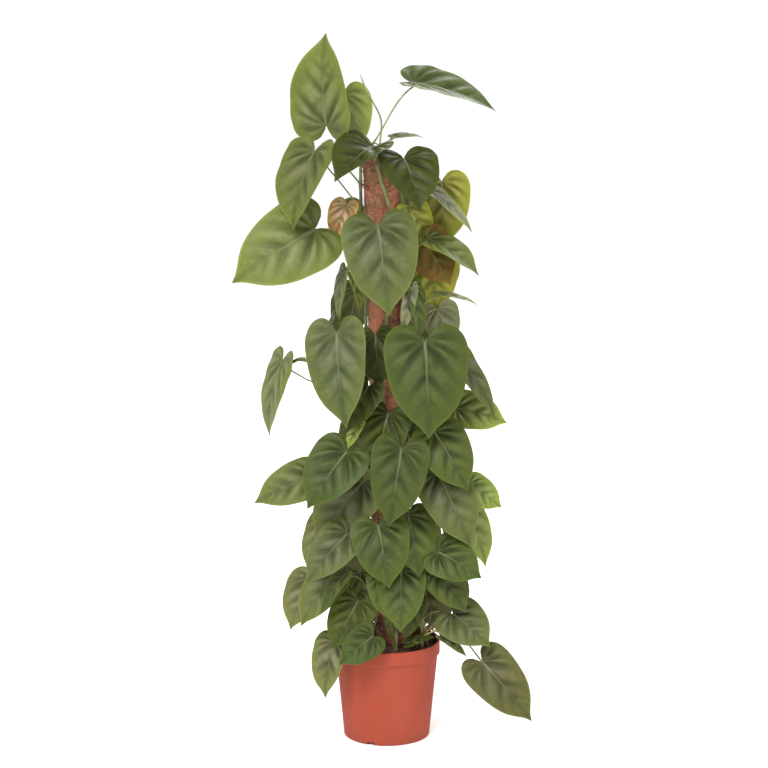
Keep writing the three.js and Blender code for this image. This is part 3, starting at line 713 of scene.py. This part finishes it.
def soil_material():
    """Dark peat with paler bits of root and bark."""
    s = Shading("soil")
    crumb = s.voronoi(s.place(), 260)
    fine = s.noise(s.place(), 700, 5, 0.7)
    cloud = s.noise(s.place(), 60, 3)
    colour = s.mix(s.step(fine, 0.35, 0.7), linear(48, 30, 16), linear(98, 66, 40))
    colour = s.mix(s.times(s.step(cloud, 0.5, 0.75), 0.5), colour, linear(76, 52, 28))
    bits = s.step(s.noise(s.place((1, 0.3, 1)), 380, 2), 0.7, 0.76)
    colour = s.mix(s.times(bits, 0.7), colour, linear(150, 118, 84))
    relief = s.math("SUBTRACT", fine, crumb)
    return s.finish(colour, 0.95, relief, depth=2.2, strength=0.9)


def wood_material():
    """Pale turned wood with a grain along the pole."""
    s = Shading("pole_wood")
    grain = s.noise(s.place((1, 1, 0.06)), 420, 5)
    rings = s.noise(s.place((1, 1, 0.02)), 90, 2)
    colour = s.mix(grain, linear(146, 112, 74), linear(196, 162, 118))
    return s.finish(s.tint(colour, rings, 0.8), 0.75, grain, depth=0.3)


def floor_material():
    """Plain pale floor with a trace of unevenness."""
    s = Shading("floor")
    cloud = s.noise(s.place(), 3, 2)
    colour = s.mix(cloud, linear(251, 251, 250), linear(254, 254, 254))
    return s.finish(colour, 0.85, cloud, depth=0.1, strength=0.05)


# Stems and petioles

def pole_axis(z):
    return np.array((POLE_FOOT_X + POLE_LEAN * z, 0, z))


def beside_pole(bearing, z, reach):
    """A point at a bearing, height and distance from the middle of the pole."""
    angle = math.radians(bearing)
    return pole_axis(z) + reach * np.array((math.sin(angle), -math.cos(angle), 0))


def round_pole(angle, radius, height):
    """A line of points from their angles, distances and heights round the leaning pole."""
    across = POLE_FOOT_X + POLE_LEAN * height + radius * np.sin(angle)
    return np.column_stack((across, -radius * np.cos(angle), height))


def smooth_line(points, steps):
    """A centripetal Catmull-Rom curve through the points, sampled evenly by length."""
    points = [np.asarray(p, float) for p in points]
    points = [2 * points[0] - points[1], *points, 2 * points[-1] - points[-2]]
    samples = []
    for p0, p1, p2, p3 in zip(points, points[1:], points[2:], points[3:]):
        t0 = 0
        t1 = t0 + math.sqrt(np.linalg.norm(p1 - p0))
        t2 = t1 + math.sqrt(np.linalg.norm(p2 - p1))
        t3 = t2 + math.sqrt(np.linalg.norm(p3 - p2))
        for t in np.linspace(t1, t2, CURVE_SAMPLES, endpoint=False):
            a1 = ((t1 - t) * p0 + (t - t0) * p1) / (t1 - t0)
            a2 = ((t2 - t) * p1 + (t - t1) * p2) / (t2 - t1)
            a3 = ((t3 - t) * p2 + (t - t2) * p3) / (t3 - t2)
            b1 = ((t2 - t) * a1 + (t - t0) * a2) / (t2 - t0)
            b2 = ((t3 - t) * a2 + (t - t1) * a3) / (t3 - t1)
            samples.append(((t2 - t) * b1 + (t - t1) * b2) / (t2 - t1))
    samples = np.array([*samples, points[-2]])
    lengths = np.concatenate(([0], np.cumsum(np.linalg.norm(np.diff(samples, axis=0), axis=1))))
    even = np.linspace(0, lengths[-1], steps + 1)
    return np.column_stack([np.interp(even, lengths, samples[:, axis]) for axis in range(3)])


def climbing_stem(root, climb):
    """Line of a stem, and a function that gives its point nearest a height."""
    heights = (*STEM_ROOT_HEIGHTS, SOIL_TOP + STEM_STRAIGHT / 4, SOIL_TOP + STEM_STRAIGHT)
    points = [(*root, z) for z in heights]
    points += [beside_pole(bearing, z, STEM_REACH) for bearing, z in climb]
    line = smooth_line(points, STEM_STEPS)
    top = climb[-1][1]

    def node_at(z, order):
        wanted = min(max(z, LOWEST_NODE), top - TOP_NODE)
        return line[np.argmin(np.abs(line[:, 2] - wanted))]

    return line, node_at


def runner_stem():
    """Line of the short shoot that leans over the rim, with its leaves spaced along it in order."""
    heights = (*STEM_ROOT_HEIGHTS, SOIL_TOP, SOIL_TOP + RUNNER_STRAIGHT)
    points = [(*RUNNER_ROOT, z) for z in heights] + list(RUNNER_POINTS)
    line = smooth_line(points, RUNNER_STEPS)

    def node_at(z, order):
        return line[round((RUNNER_FIRST_NODE + RUNNER_NODE_STEP * order) * RUNNER_STEPS)]

    return line, node_at


def leaf_frame(leaf):
    """Base, length, midrib, cross and face directions of a leaf."""
    base, tip, bearing, tilt = leaf[:4]
    start = np.array(base, float)
    along = np.array(tip, float) - start
    length = np.linalg.norm(along)
    along = along / length
    turn, rise = math.radians(bearing), math.radians(tilt)
    flat = math.cos(rise)
    face = np.array((math.sin(turn) * flat, -math.cos(turn) * flat, math.sin(rise)))
    face = unit(face - along * face.dot(along))
    return start, length, along, np.cross(face, along), face


def petiole_line(leaf, node_at, order):
    """A petiole's line: out and up from the stem, then over and into the blade from behind."""
    start, length, along, _, face = leaf_frame(leaf)
    flat_reach = math.hypot(start[0] - pole_axis(start[2])[0], start[1]) - STEM_REACH
    origin = node_at(start[2] - PETIOLE_RISE - PETIOLE_SLOPE * max(flat_reach, 0), order)
    reach = np.linalg.norm(start - origin)
    outward = unit((start - origin) * (1, 1, 0))
    outward = unit(outward + PETIOLE_CLEAR * unit(origin - pole_axis(origin[2])))
    first = origin + outward * reach * PETIOLE_OUT
    first[2] += reach * PETIOLE_UP
    entry = unit(along * PETIOLE_ALONG + face * PETIOLE_BEHIND)
    second = start - entry * reach * PETIOLE_BEND
    lift = BLADE_ARCH * PETIOLE_SEAT * (1 - PETIOLE_SEAT) * length - BLADE_THICKNESS
    end = start + along * length * PETIOLE_SEAT + face * lift
    t = np.linspace(0, 1, PETIOLE_STEPS + 1)[:, None]
    rest = 1 - t
    return rest ** 3 * origin + 3 * rest ** 2 * t * first + 3 * rest * t ** 2 * second + t ** 3 * end


# Blades

def blade_radius(angle):
    """Distance of the margin from the petiole, at an angle from the midrib."""
    point = BLADE_POINT * np.exp(-((angle / BLADE_TAPER) ** BLADE_TAPER_POWER))
    drip = BLADE_DRIP * np.exp(-angle / DRIP_TAPER)
    sinus = np.sqrt(np.clip(1 - (angle / SINUS_ANGLE) ** SINUS_POWER, 0, None))
    return (BLADE_BODY + point + drip) * sinus


def vein_field(u, v):
    """The number of the vein at each place, whole on a vein, and the room between neighbouring veins."""
    start = u - VEIN_SLOPE * v - VEIN_CURVE * v * v
    left = np.clip(1 - start, 0.05, None)
    slope = VEIN_SLOPE + 2 * VEIN_CURVE * v
    forward = np.log(left) / math.log(VEIN_RATIO)
    forward_gap = left * -math.log(VEIN_RATIO) / np.sqrt(1 + slope ** 2)
    bend = np.arctan2(v, u - VEIN_CURVE * v * v)
    basal = -(bend - math.atan(1 / VEIN_SLOPE)) / BASAL_STEP
    basal_gap = BASAL_STEP * np.hypot(u, v)
    ahead = start >= 0
    return np.where(ahead, forward, basal), np.where(ahead, forward_gap, basal_gap)


def add_blade(batch, leaf):
    """A thin leaf blade with a soft fold, sunken veins, a wavy margin and a tip that curls a little."""
    start, length, along, across, face = leaf_frame(leaf)
    width, fold, look = leaf[4] / FULL_WIDTH, leaf[5], leaf[6]
    spread = np.linspace(-1, 1, BLADE_SPOKES + 1)
    angles = np.sign(spread) * np.abs(spread) ** SPOKE_POWER * SINUS_ANGLE * SINUS_SHARE
    rings = np.linspace(0, 1, BLADE_RINGS + 1)[1:]
    ring, angle = np.meshgrid(rings, angles, indexing="ij")
    radius = ring * blade_radius(np.abs(angle))
    u = np.concatenate(([0], (radius * np.cos(angle)).ravel()))
    v = np.concatenate(([0], (radius * np.sin(angle) * width).ravel()))
    ring = np.concatenate(([0], ring.ravel()))
    angle = np.concatenate(([0], angle.ravel()))
    side = np.abs(v)

    line, gap = vein_field(u, side)
    wave, phase, curl, bend, twist, ripple = rng.uniform(-1, 1, 6)
    soft = np.sqrt(side ** 2 + FOLD_SOFTNESS ** 2) - FOLD_SOFTNESS
    w = BLADE_ARCH * u * (1 - u) + fold * soft - BLADE_CUP * side ** 2
    between = (0.5 - 0.5 * np.cos(2 * math.pi * line)) * np.clip(gap / QUILT_ROOM, 0, 1) ** 1.5
    w += QUILT * (between - 0.4) * np.clip(side / 0.05, 0, 1) * (1 - ring ** 2)
    w += (WAVE_HEIGHT + WAVE_SPREAD * wave) * ring ** 3 * np.sin(WAVES * angle + 3 * phase)
    w += RIPPLE_HEIGHT * ring ** 5 * np.sin(RIPPLES * angle + 3 * ripple)
    w -= (TIP_CURL + TIP_CURL_SPREAD * curl) * np.clip(u - TIP_START, 0, None) ** 2
    v_bent = v + BEND * bend * u * u
    w += TWIST * twist * u * v

    middle = start + length * (np.outer(u, along) + np.outer(v_bent, across) + np.outer(w, face))
    thickness = BLADE_THICKNESS + (EDGE_THICKNESS - BLADE_THICKNESS) * ring ** 4
    points = np.concatenate((middle, middle - np.outer(thickness, face)))

    columns = BLADE_SPOKES + 1
    under = len(u)
    faces = []
    for j in range(BLADE_SPOKES):
        faces.append((0, 1 + j, 2 + j))
        faces.append((under, under + 2 + j, under + 1 + j))
    for i in range(BLADE_RINGS - 1):
        for j in range(BLADE_SPOKES):
            a = 1 + i * columns + j
            b = a + columns
            faces.append((a, b, b + 1, a + 1))
            faces.append((under + a, under + a + 1, under + b + 1, under + b))
    outer = 1 + (BLADE_RINGS - 1) * columns
    edge = [0, *range(1, outer, columns), *range(outer, outer + columns)]
    edge += [outer - 1 - i * columns for i in range(BLADE_RINGS - 1)]
    for a, b in zip(edge, edge[1:] + edge[:1]):
        faces.append((a, under + a, under + b, b))

    colour, age, glow = LOOKS[look]
    shade = np.array(linear(*colour)) * rng.uniform(0.9, 1.1) * rng.uniform(0.96, 1.04, 3)
    batch.add(
        points, faces,
        shade=shade,
        blade=np.tile(np.column_stack((u, side, ring)), (2, 1)),
        veins=np.column_stack((np.tile(line, 2), np.tile(gap, 2), np.repeat((1, 0), under))),
        life=(age, rng.uniform(0, 1), glow),
    )


def add_petiole(batch, line):
    """A petiole that swells where it leaves the stem and where it meets the blade."""
    share = np.linspace(0, 1, len(line))
    radii = PETIOLE_RADIUS * (0.85 + 0.7 * np.exp(-share / 0.04) + 0.3 * np.exp(-(1 - share) / 0.05))
    add_tube(batch, line, radii, PETIOLE_SIDES, joint=np.exp(-share / 0.05))


def add_stem(batch, line, nodes):
    """A stem with a swollen ring at each node."""
    keep = line[::STEM_SKIP]
    nearness = np.zeros(len(keep))
    for node in nodes:
        distance = np.linalg.norm(keep - node, axis=1)
        nearness = np.maximum(nearness, np.exp(-(distance / NODE_SPAN) ** 2))
    radii = STEM_RADIUS * (0.88 + NODE_SWELL * nearness)
    radii[-4:] *= np.linspace(0.95, 0.4, 4)
    add_tube(batch, keep, radii, STEM_SIDES, joint=nearness)


def add_rod(batch, points, wide, thin, brown):
    """A thin rod through a few points."""
    line = smooth_line(points, ROD_STEPS)
    add_tube(batch, line, np.linspace(wide, thin, len(line)), ROD_SIDES, brown=brown)


def add_roots(batch, node):
    """Short roots that leave a node and grip the coir."""
    middle = pole_axis(node[2])
    bearing = math.atan2(node[0] - middle[0], -node[1])
    reach = math.hypot(node[0] - middle[0], node[1])
    for _ in range(ROOTS_AT_NODE):
        turn = rng.choice((-1, 1)) * rng.uniform(*ROOT_TURN)
        drop = rng.uniform(*ROOT_DROP)
        share = np.linspace(0, 1, ROOT_POINTS)
        angle = bearing + turn * share
        radius = reach + (SLEEVE_RADIUS + 0.5 - reach) * share ** 0.7 + 0.8 * np.sin(share * 9)
        height = node[2] + drop * share + 2 * np.sin(share * 6)
        line = round_pole(angle, radius, height)
        add_tube(batch, line, 0.9 - 0.55 * share, ROOT_SIDES, joint=1, brown=1)


def seeded_random(state):
    """Numbers between 0 and 1, the same on every run."""
    while True:
        state = (state * 1664525 + 1013904223) % 4294967296
        yield state / 4294967296


def back_leaves():
    """Leaves up the back stem, each a golden turn further round than the last."""
    draw = seeded_random(BACK_SEED)
    pick = lambda span: span[0] + (span[1] - span[0]) * next(draw)
    rows = []
    for i in range(BACK_LEAVES):
        z = BACK_HEIGHTS[0] + (BACK_HEIGHTS[1] - BACK_HEIGHTS[0]) * i / (BACK_LEAVES - 1)
        bearing = BACK_BEARING + BACK_SPREAD * (2 * ((0.5 + i * GOLDEN_TURN) % 1) - 1)
        reach = pick(BACK_REACH)
        length = pick(BACK_LENGTH)
        base = beside_pole(bearing, z, reach)
        swing = math.radians(bearing + BACK_SWING * (2 * next(draw) - 1))
        droop = math.radians(pick(BACK_DROOP))
        flat = math.cos(droop)
        tip = base + length * np.array((math.sin(swing) * flat, -math.cos(swing) * flat, -math.sin(droop)))
        rows.append((base, tip, bearing, *BACK_FORM, BACK_LOOKS[i % len(BACK_LOOKS)]))
    return rows


def add_vine(name, stem, leaves, slot, leaf_paint, stem_paint, rooted=True):
    """The leaves and the stems of one vine, as two objects."""
    line, node_at = stem
    blades, rods = Batch(), Batch()
    nodes = []
    for order, leaf in enumerate(leaves):
        add_blade(blades, leaf)
        petiole = petiole_line(leaf, node_at, order)
        add_petiole(rods, petiole)
        nodes.append(petiole[0])
        if rooted:
            add_roots(rods, petiole[0])
    add_stem(rods, line, nodes)
    for rod in RODS.get(name, ()):
        add_rod(rods, *rod)
    blades.piece(name + "_leaves", [name], slot, leaf_paint)
    rods.piece(name + "_stems", [name], slot, stem_paint)


# Pot, soil and pole

def wall_radius(z):
    low, high = FOOT_ROUND, RIM_BAND_BOTTOM - RIM_ROUND
    return FOOT_RADIUS + (NECK_RADIUS - FOOT_RADIUS) * (z - low) / (high - low)


def inner_radius(z):
    slope = (INNER_LIP_RADIUS - INNER_FOOT_RADIUS) / (POT_HEIGHT - FLOOR_TOP)
    return INNER_FOOT_RADIUS + slope * (z - FLOOR_TOP)


def cut_away(piece, cutters):
    """The piece less the cutters, as a plain mesh."""
    cutter = new_object("cutter", cutters)
    modifier = piece.modifiers.new("cut", "BOOLEAN")
    modifier.operation = "DIFFERENCE"
    modifier.solver = "MANIFOLD"
    modifier.object = cutter
    graph = bpy.context.evaluated_depsgraph_get()
    mesh = bpy.data.meshes.new_from_object(piece.evaluated_get(graph))
    piece.modifiers.clear()
    piece.data = mesh
    bpy.data.objects.remove(cutter)


def pot_cutters():
    """The drain holes and the notches of the foot, as one mesh."""
    cutters = Batch()
    turns = full_turn(DRAIN_SIDES)
    low, high = DRAIN_CUT
    profile = [(0, low), (DRAIN_HOLE_RADIUS, low), (DRAIN_HOLE_RADIUS, high), (0, high)]
    for i in range(DRAIN_HOLES):
        turn = (i + 0.5) * 2 * math.pi / DRAIN_HOLES
        points, faces = turned(profile, turns)
        points += (DRAIN_CIRCLE * math.cos(turn), DRAIN_CIRCLE * math.sin(turn), 0)
        cutters.add(points, faces)
    corners = [(x, y, z) for x in (-0.5, 0.5) for y in (-0.5, 0.5) for z in (-0.5, 0.5)]
    sides = [(0, 1, 3, 2), (4, 6, 7, 5), (0, 4, 5, 1), (2, 3, 7, 6), (0, 2, 6, 4), (1, 5, 7, 3)]
    box = np.array(corners) * NOTCH_SIZE + (FOOT_RADIUS, 0, 0)
    for i in range(NOTCHES):
        turn = math.radians(NOTCH_TURN) + i * 2 * math.pi / NOTCHES
        x = box[:, 0] * math.cos(turn) - box[:, 1] * math.sin(turn)
        y = box[:, 0] * math.sin(turn) + box[:, 1] * math.cos(turn)
        cutters.add(np.column_stack((x, y, box[:, 2])), sides)
    mesh = bpy.data.meshes.new("cutters")
    mesh.from_pydata((np.concatenate(cutters.points) * MM).tolist(), [], cutters.faces)
    return mesh


def add_pot(material):
    """The pot: turned finely, with sunken panels, drain holes and a notched foot."""
    levels = sorted({
        *np.linspace(FOOT_ROUND, RIM_BAND_BOTTOM - RIM_ROUND, WALL_LEVELS),
        *(z + d * PANEL_RAMP for z in PANEL_HEIGHTS for d in (-1, 0)),
    })
    profile = [(0, 0), (CENTRE_FOOT_RADIUS - 6, 0), (CENTRE_FOOT_RADIUS, 0)]
    profile += [(CENTRE_FOOT_RADIUS + FOOT_DRAFT, FLOOR_UNDERSIDE)]
    profile += [(FOOT_RING_INNER - FOOT_DRAFT, FLOOR_UNDERSIDE), (FOOT_RING_INNER, 0)]
    profile += arc((FOOT_RADIUS - FOOT_ROUND, FOOT_ROUND), FOOT_ROUND, -90, -20, 4)
    profile += [(wall_radius(z), z) for z in levels]
    profile += arc((RIM_RADIUS - RIM_ROUND, RIM_BAND_BOTTOM + 2 * RIM_ROUND), RIM_ROUND, -70, 0, 4)
    profile += [(RIM_RADIUS, z) for z in np.linspace(RIM_BAND_BOTTOM + 4, POT_HEIGHT - 3, 4)]
    profile += arc((RIM_RADIUS - RIM_ROUND, POT_HEIGHT - RIM_ROUND), RIM_ROUND, 0, 90, 5)
    profile += arc((INNER_LIP_RADIUS + RIM_ROUND, POT_HEIGHT - RIM_ROUND), RIM_ROUND, 90, 180, 5)
    profile += [(inner_radius(z), z) for z in INNER_LEVELS]
    profile += [(INNER_FOOT_RADIUS + 0.2, FLOOR_TOP + 2), (INNER_FOOT_RADIUS - 2, FLOOR_TOP)]
    profile += [(0, FLOOR_TOP)]

    offsets = [side * (PANEL_HALF_ANGLE + ramp) for side in (-1, 1) for ramp in (0, PANEL_EDGE)]
    edges = [(middle + offset) % 360 for middle in PANEL_BEARINGS for offset in offsets]
    bearings = sorted({*np.arange(0, 360, TURN_STEP), *edges})
    points, faces = turned(profile, np.radians(bearings))
    bearing = np.degrees(np.arctan2(points[:, 0], -points[:, 1]))
    radius = np.hypot(points[:, 0], points[:, 1])
    height = points[:, 2]
    low, high = PANEL_HEIGHTS[0] - SLACK, PANEL_HEIGHTS[1] - PANEL_RAMP + SLACK
    sunken = (radius > wall_radius(height) - 0.3) & (height > low) & (height < high)
    for middle in PANEL_BEARINGS:
        off = np.abs((bearing - middle + 180) % 360 - 180)
        within = sunken & (off < PANEL_HALF_ANGLE + SLACK)
        points[within, :2] *= (1 - PANEL_DEPTH / radius[within])[:, None]
    batch = Batch()
    batch.add(points, faces)
    piece = batch.piece("pot_shell", ["pot"], "pot", material, POT_SHARP)
    cut_away(piece, pot_cutters())
    finish_mesh(piece.data, POT_SHARP)


def add_clod(batch, place, size):
    """An irregular lump of soil."""
    profile = [(0, -0.8), (0.6, -0.6), (1, 0), (0.65, 0.6), (0, 0.85)]
    points, faces = turned(profile, full_turn(CLOD_SIDES))
    points = points * rng.uniform(0.7, 1.3, (len(points), 1)) * rng.uniform(0.6, 1.2, 3)
    turn = rng.uniform(0, 2 * math.pi)
    across, deep = math.cos(turn), math.sin(turn)
    spun = points @ np.array(((across, deep, 0), (-deep, across, 0), (0, 0, 1)))
    batch.add(spun * size + place, faces)


def add_soil(material):
    """Soil: a crumbly mound that fills the pot, with loose clods on it."""
    inside = lambda z: inner_radius(z) - SOIL_WALL_GAP
    mound = lambda share: SOIL_EDGE + SOIL_MOUND * (1 - share ** 2)
    shares = np.linspace(1, 0.02, SOIL_RINGS)
    profile = [(0, SOIL_BOTTOM)] + [(inside(z), z) for z in (SOIL_BOTTOM, SOIL_EDGE - 6)]
    profile += [(inside(SOIL_EDGE) * share, mound(share)) for share in shares] + [(0, mound(0))]
    points, faces = turned(profile, full_turn(SOIL_COLUMNS))
    for point in points:
        if point[2] > SOIL_EDGE - 1:
            place = Vector(point)
            point[2] += 2.2 * noise.noise(place * 0.09) + 1.6 * noise.noise(place * 0.28)
            point[2] += noise.noise(place * 0.7)
    batch = Batch()
    batch.add(points, faces)
    for _ in range(CLODS):
        share = math.sqrt(rng.uniform(0, CLOD_SPREAD))
        turn = rng.uniform(0, 2 * math.pi)
        reach = inside(SOIL_EDGE) * share
        size = rng.uniform(*CLOD_SIZES)
        place = (reach * math.cos(turn), reach * math.sin(turn), mound(share) + 0.2 * size)
        add_clod(batch, np.array(place), size)
    batch.piece("soil_top", ["soil"], "soil", material, sharp=70)


def add_coir(material, fibre_paint):
    """The coir sleeve with its lumpy face, and loose fibres that lie round it."""
    heights = np.linspace(SLEEVE_BOTTOM, SLEEVE_TOP - 5, SLEEVE_LEVELS)
    profile = [(0, SLEEVE_BOTTOM)] + [(SLEEVE_RADIUS, z) for z in heights]
    profile += arc((SLEEVE_RADIUS - SLEEVE_ROUND, SLEEVE_TOP - SLEEVE_ROUND), SLEEVE_ROUND, 15, 90, 5)
    profile += [(12, SLEEVE_TOP), (0, SLEEVE_TOP)]
    points, faces = turned(profile, full_turn(SLEEVE_COLUMNS))
    for point in points:
        place = Vector(point)
        lump = SLEEVE_LUMP * noise.noise(place * 0.03) + 0.8 * noise.noise(place * 0.11)
        lump += 0.7 * noise.noise(Vector((place.x * 0.35, place.y * 0.35, place.z * 0.12)))
        reach = math.hypot(point[0], point[1])
        if reach > 1:
            point[:2] *= 1 + lump / SLEEVE_RADIUS
        if point[2] > SLEEVE_TOP - 3:
            point[2] += 0.8 * noise.noise(place * 0.15)
    points[:, 0] += POLE_FOOT_X + POLE_LEAN * points[:, 2]
    batch = Batch()
    batch.add(points, faces)
    batch.piece("coir_wrap", ["coir_sleeve"], "coir", material, sharp=80)

    fibres = Batch()
    for _ in range(FIBRES):
        share = np.linspace(0, 1, FIBRE_POINTS)
        lift = rng.uniform(*(CLOSE_LIFT if rng.uniform() < CLOSE_SHARE else LOOSE_LIFT))
        turn = rng.uniform(0, 2 * math.pi) + rng.choice((-1, 1)) * rng.uniform(*FIBRE_TURN) * share
        height = rng.uniform(SOIL_TOP, SLEEVE_TOP - 4) + rng.uniform(-FIBRE_CLIMB, FIBRE_CLIMB) * share
        height = height + rng.uniform(-FIBRE_SWAY, FIBRE_SWAY) * np.sin(share * 5)
        height = np.clip(height, SOIL_EDGE, SLEEVE_TOP)
        radius = SLEEVE_RADIUS - 0.4 + lift * np.sin(math.pi * share) + 0.4 * np.sin(7 * share)
        radii = np.full(FIBRE_POINTS, rng.uniform(*FIBRE_RADII))
        line = round_pole(turn, radius, height)
        add_tube(fibres, line, radii, FIBRE_SIDES, joint=rng.uniform(0, 1), brown=1)
    fibres.piece("coir_fibres", ["coir_sleeve"], "coir", fibre_paint, sharp=80)


# Stage

def add_floor():
    mesh = bpy.data.meshes.new("floor")
    corners = [(x * FLOOR_REACH, y * FLOOR_REACH, 0) for x, y in ((-1, -1), (1, -1), (1, 1), (-1, 1))]
    mesh.from_pydata(corners, [], [(0, 1, 2, 3)])
    mesh.materials.append(floor_material())
    floor = new_object("floor", mesh)


def add_light(name, place, size, power, colour):
    """A soft square light that looks at the middle of the plant."""
    light = bpy.data.lights.new(name, "AREA")
    light.size = size
    light.energy = power
    light.color = colour
    lamp = new_object(name, light)
    lamp.location = place
    lamp.rotation_euler = (Vector(LIGHT_TARGET) - Vector(place)).to_track_quat("-Z", "Y").to_euler()


def add_stage():
    add_floor()
    for name, settings in LIGHTS.items():
        add_light(name, *settings)
    world = bpy.data.worlds.new("studio")
    world.use_nodes = True
    sky = world.node_tree.nodes["Background"]
    sky.inputs["Color"].default_value = (1, 1, 1, 1)
    sky.inputs["Strength"].default_value = SURROUND
    bpy.context.scene.world = world
    bpy.context.scene.view_settings.view_transform = "Standard"

    lens = bpy.data.cameras.new("camera")
    lens.sensor_width = SENSOR_WIDTH
    lens.lens = FOCAL_PIXELS / FRAME_PIXELS * SENSOR_WIDTH
    camera = new_object("camera", lens)
    camera.location = [value * MM for value in CAMERA_AT]
    camera.rotation_euler = (math.radians(90 - CAMERA_PITCH), 0, 0)
    bpy.context.scene.camera = camera


leaf_paint = leaf_material()
stem_paint = stem_material()
leaves_of = {
    "vine_left": LEFT_LEAVES,
    "vine_front": FRONT_LEAVES,
    "vine_right": RIGHT_LEAVES,
    "vine_back": back_leaves(),
}
for name, (root, climb) in STEMS.items():
    add_vine(name, climbing_stem(root, climb), leaves_of[name], "leaf", leaf_paint, stem_paint)
add_vine("vine_runner", runner_stem(), RUNNER_LEAVES, "leaf_low", leaf_paint, stem_paint, rooted=False)
add_pot(pot_material())
add_soil(soil_material())
add_coir(coir_material(), fibre_material())
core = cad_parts["pole_core"]
core.data.materials.clear()
core.data.materials.append(wood_material())
add_stage()
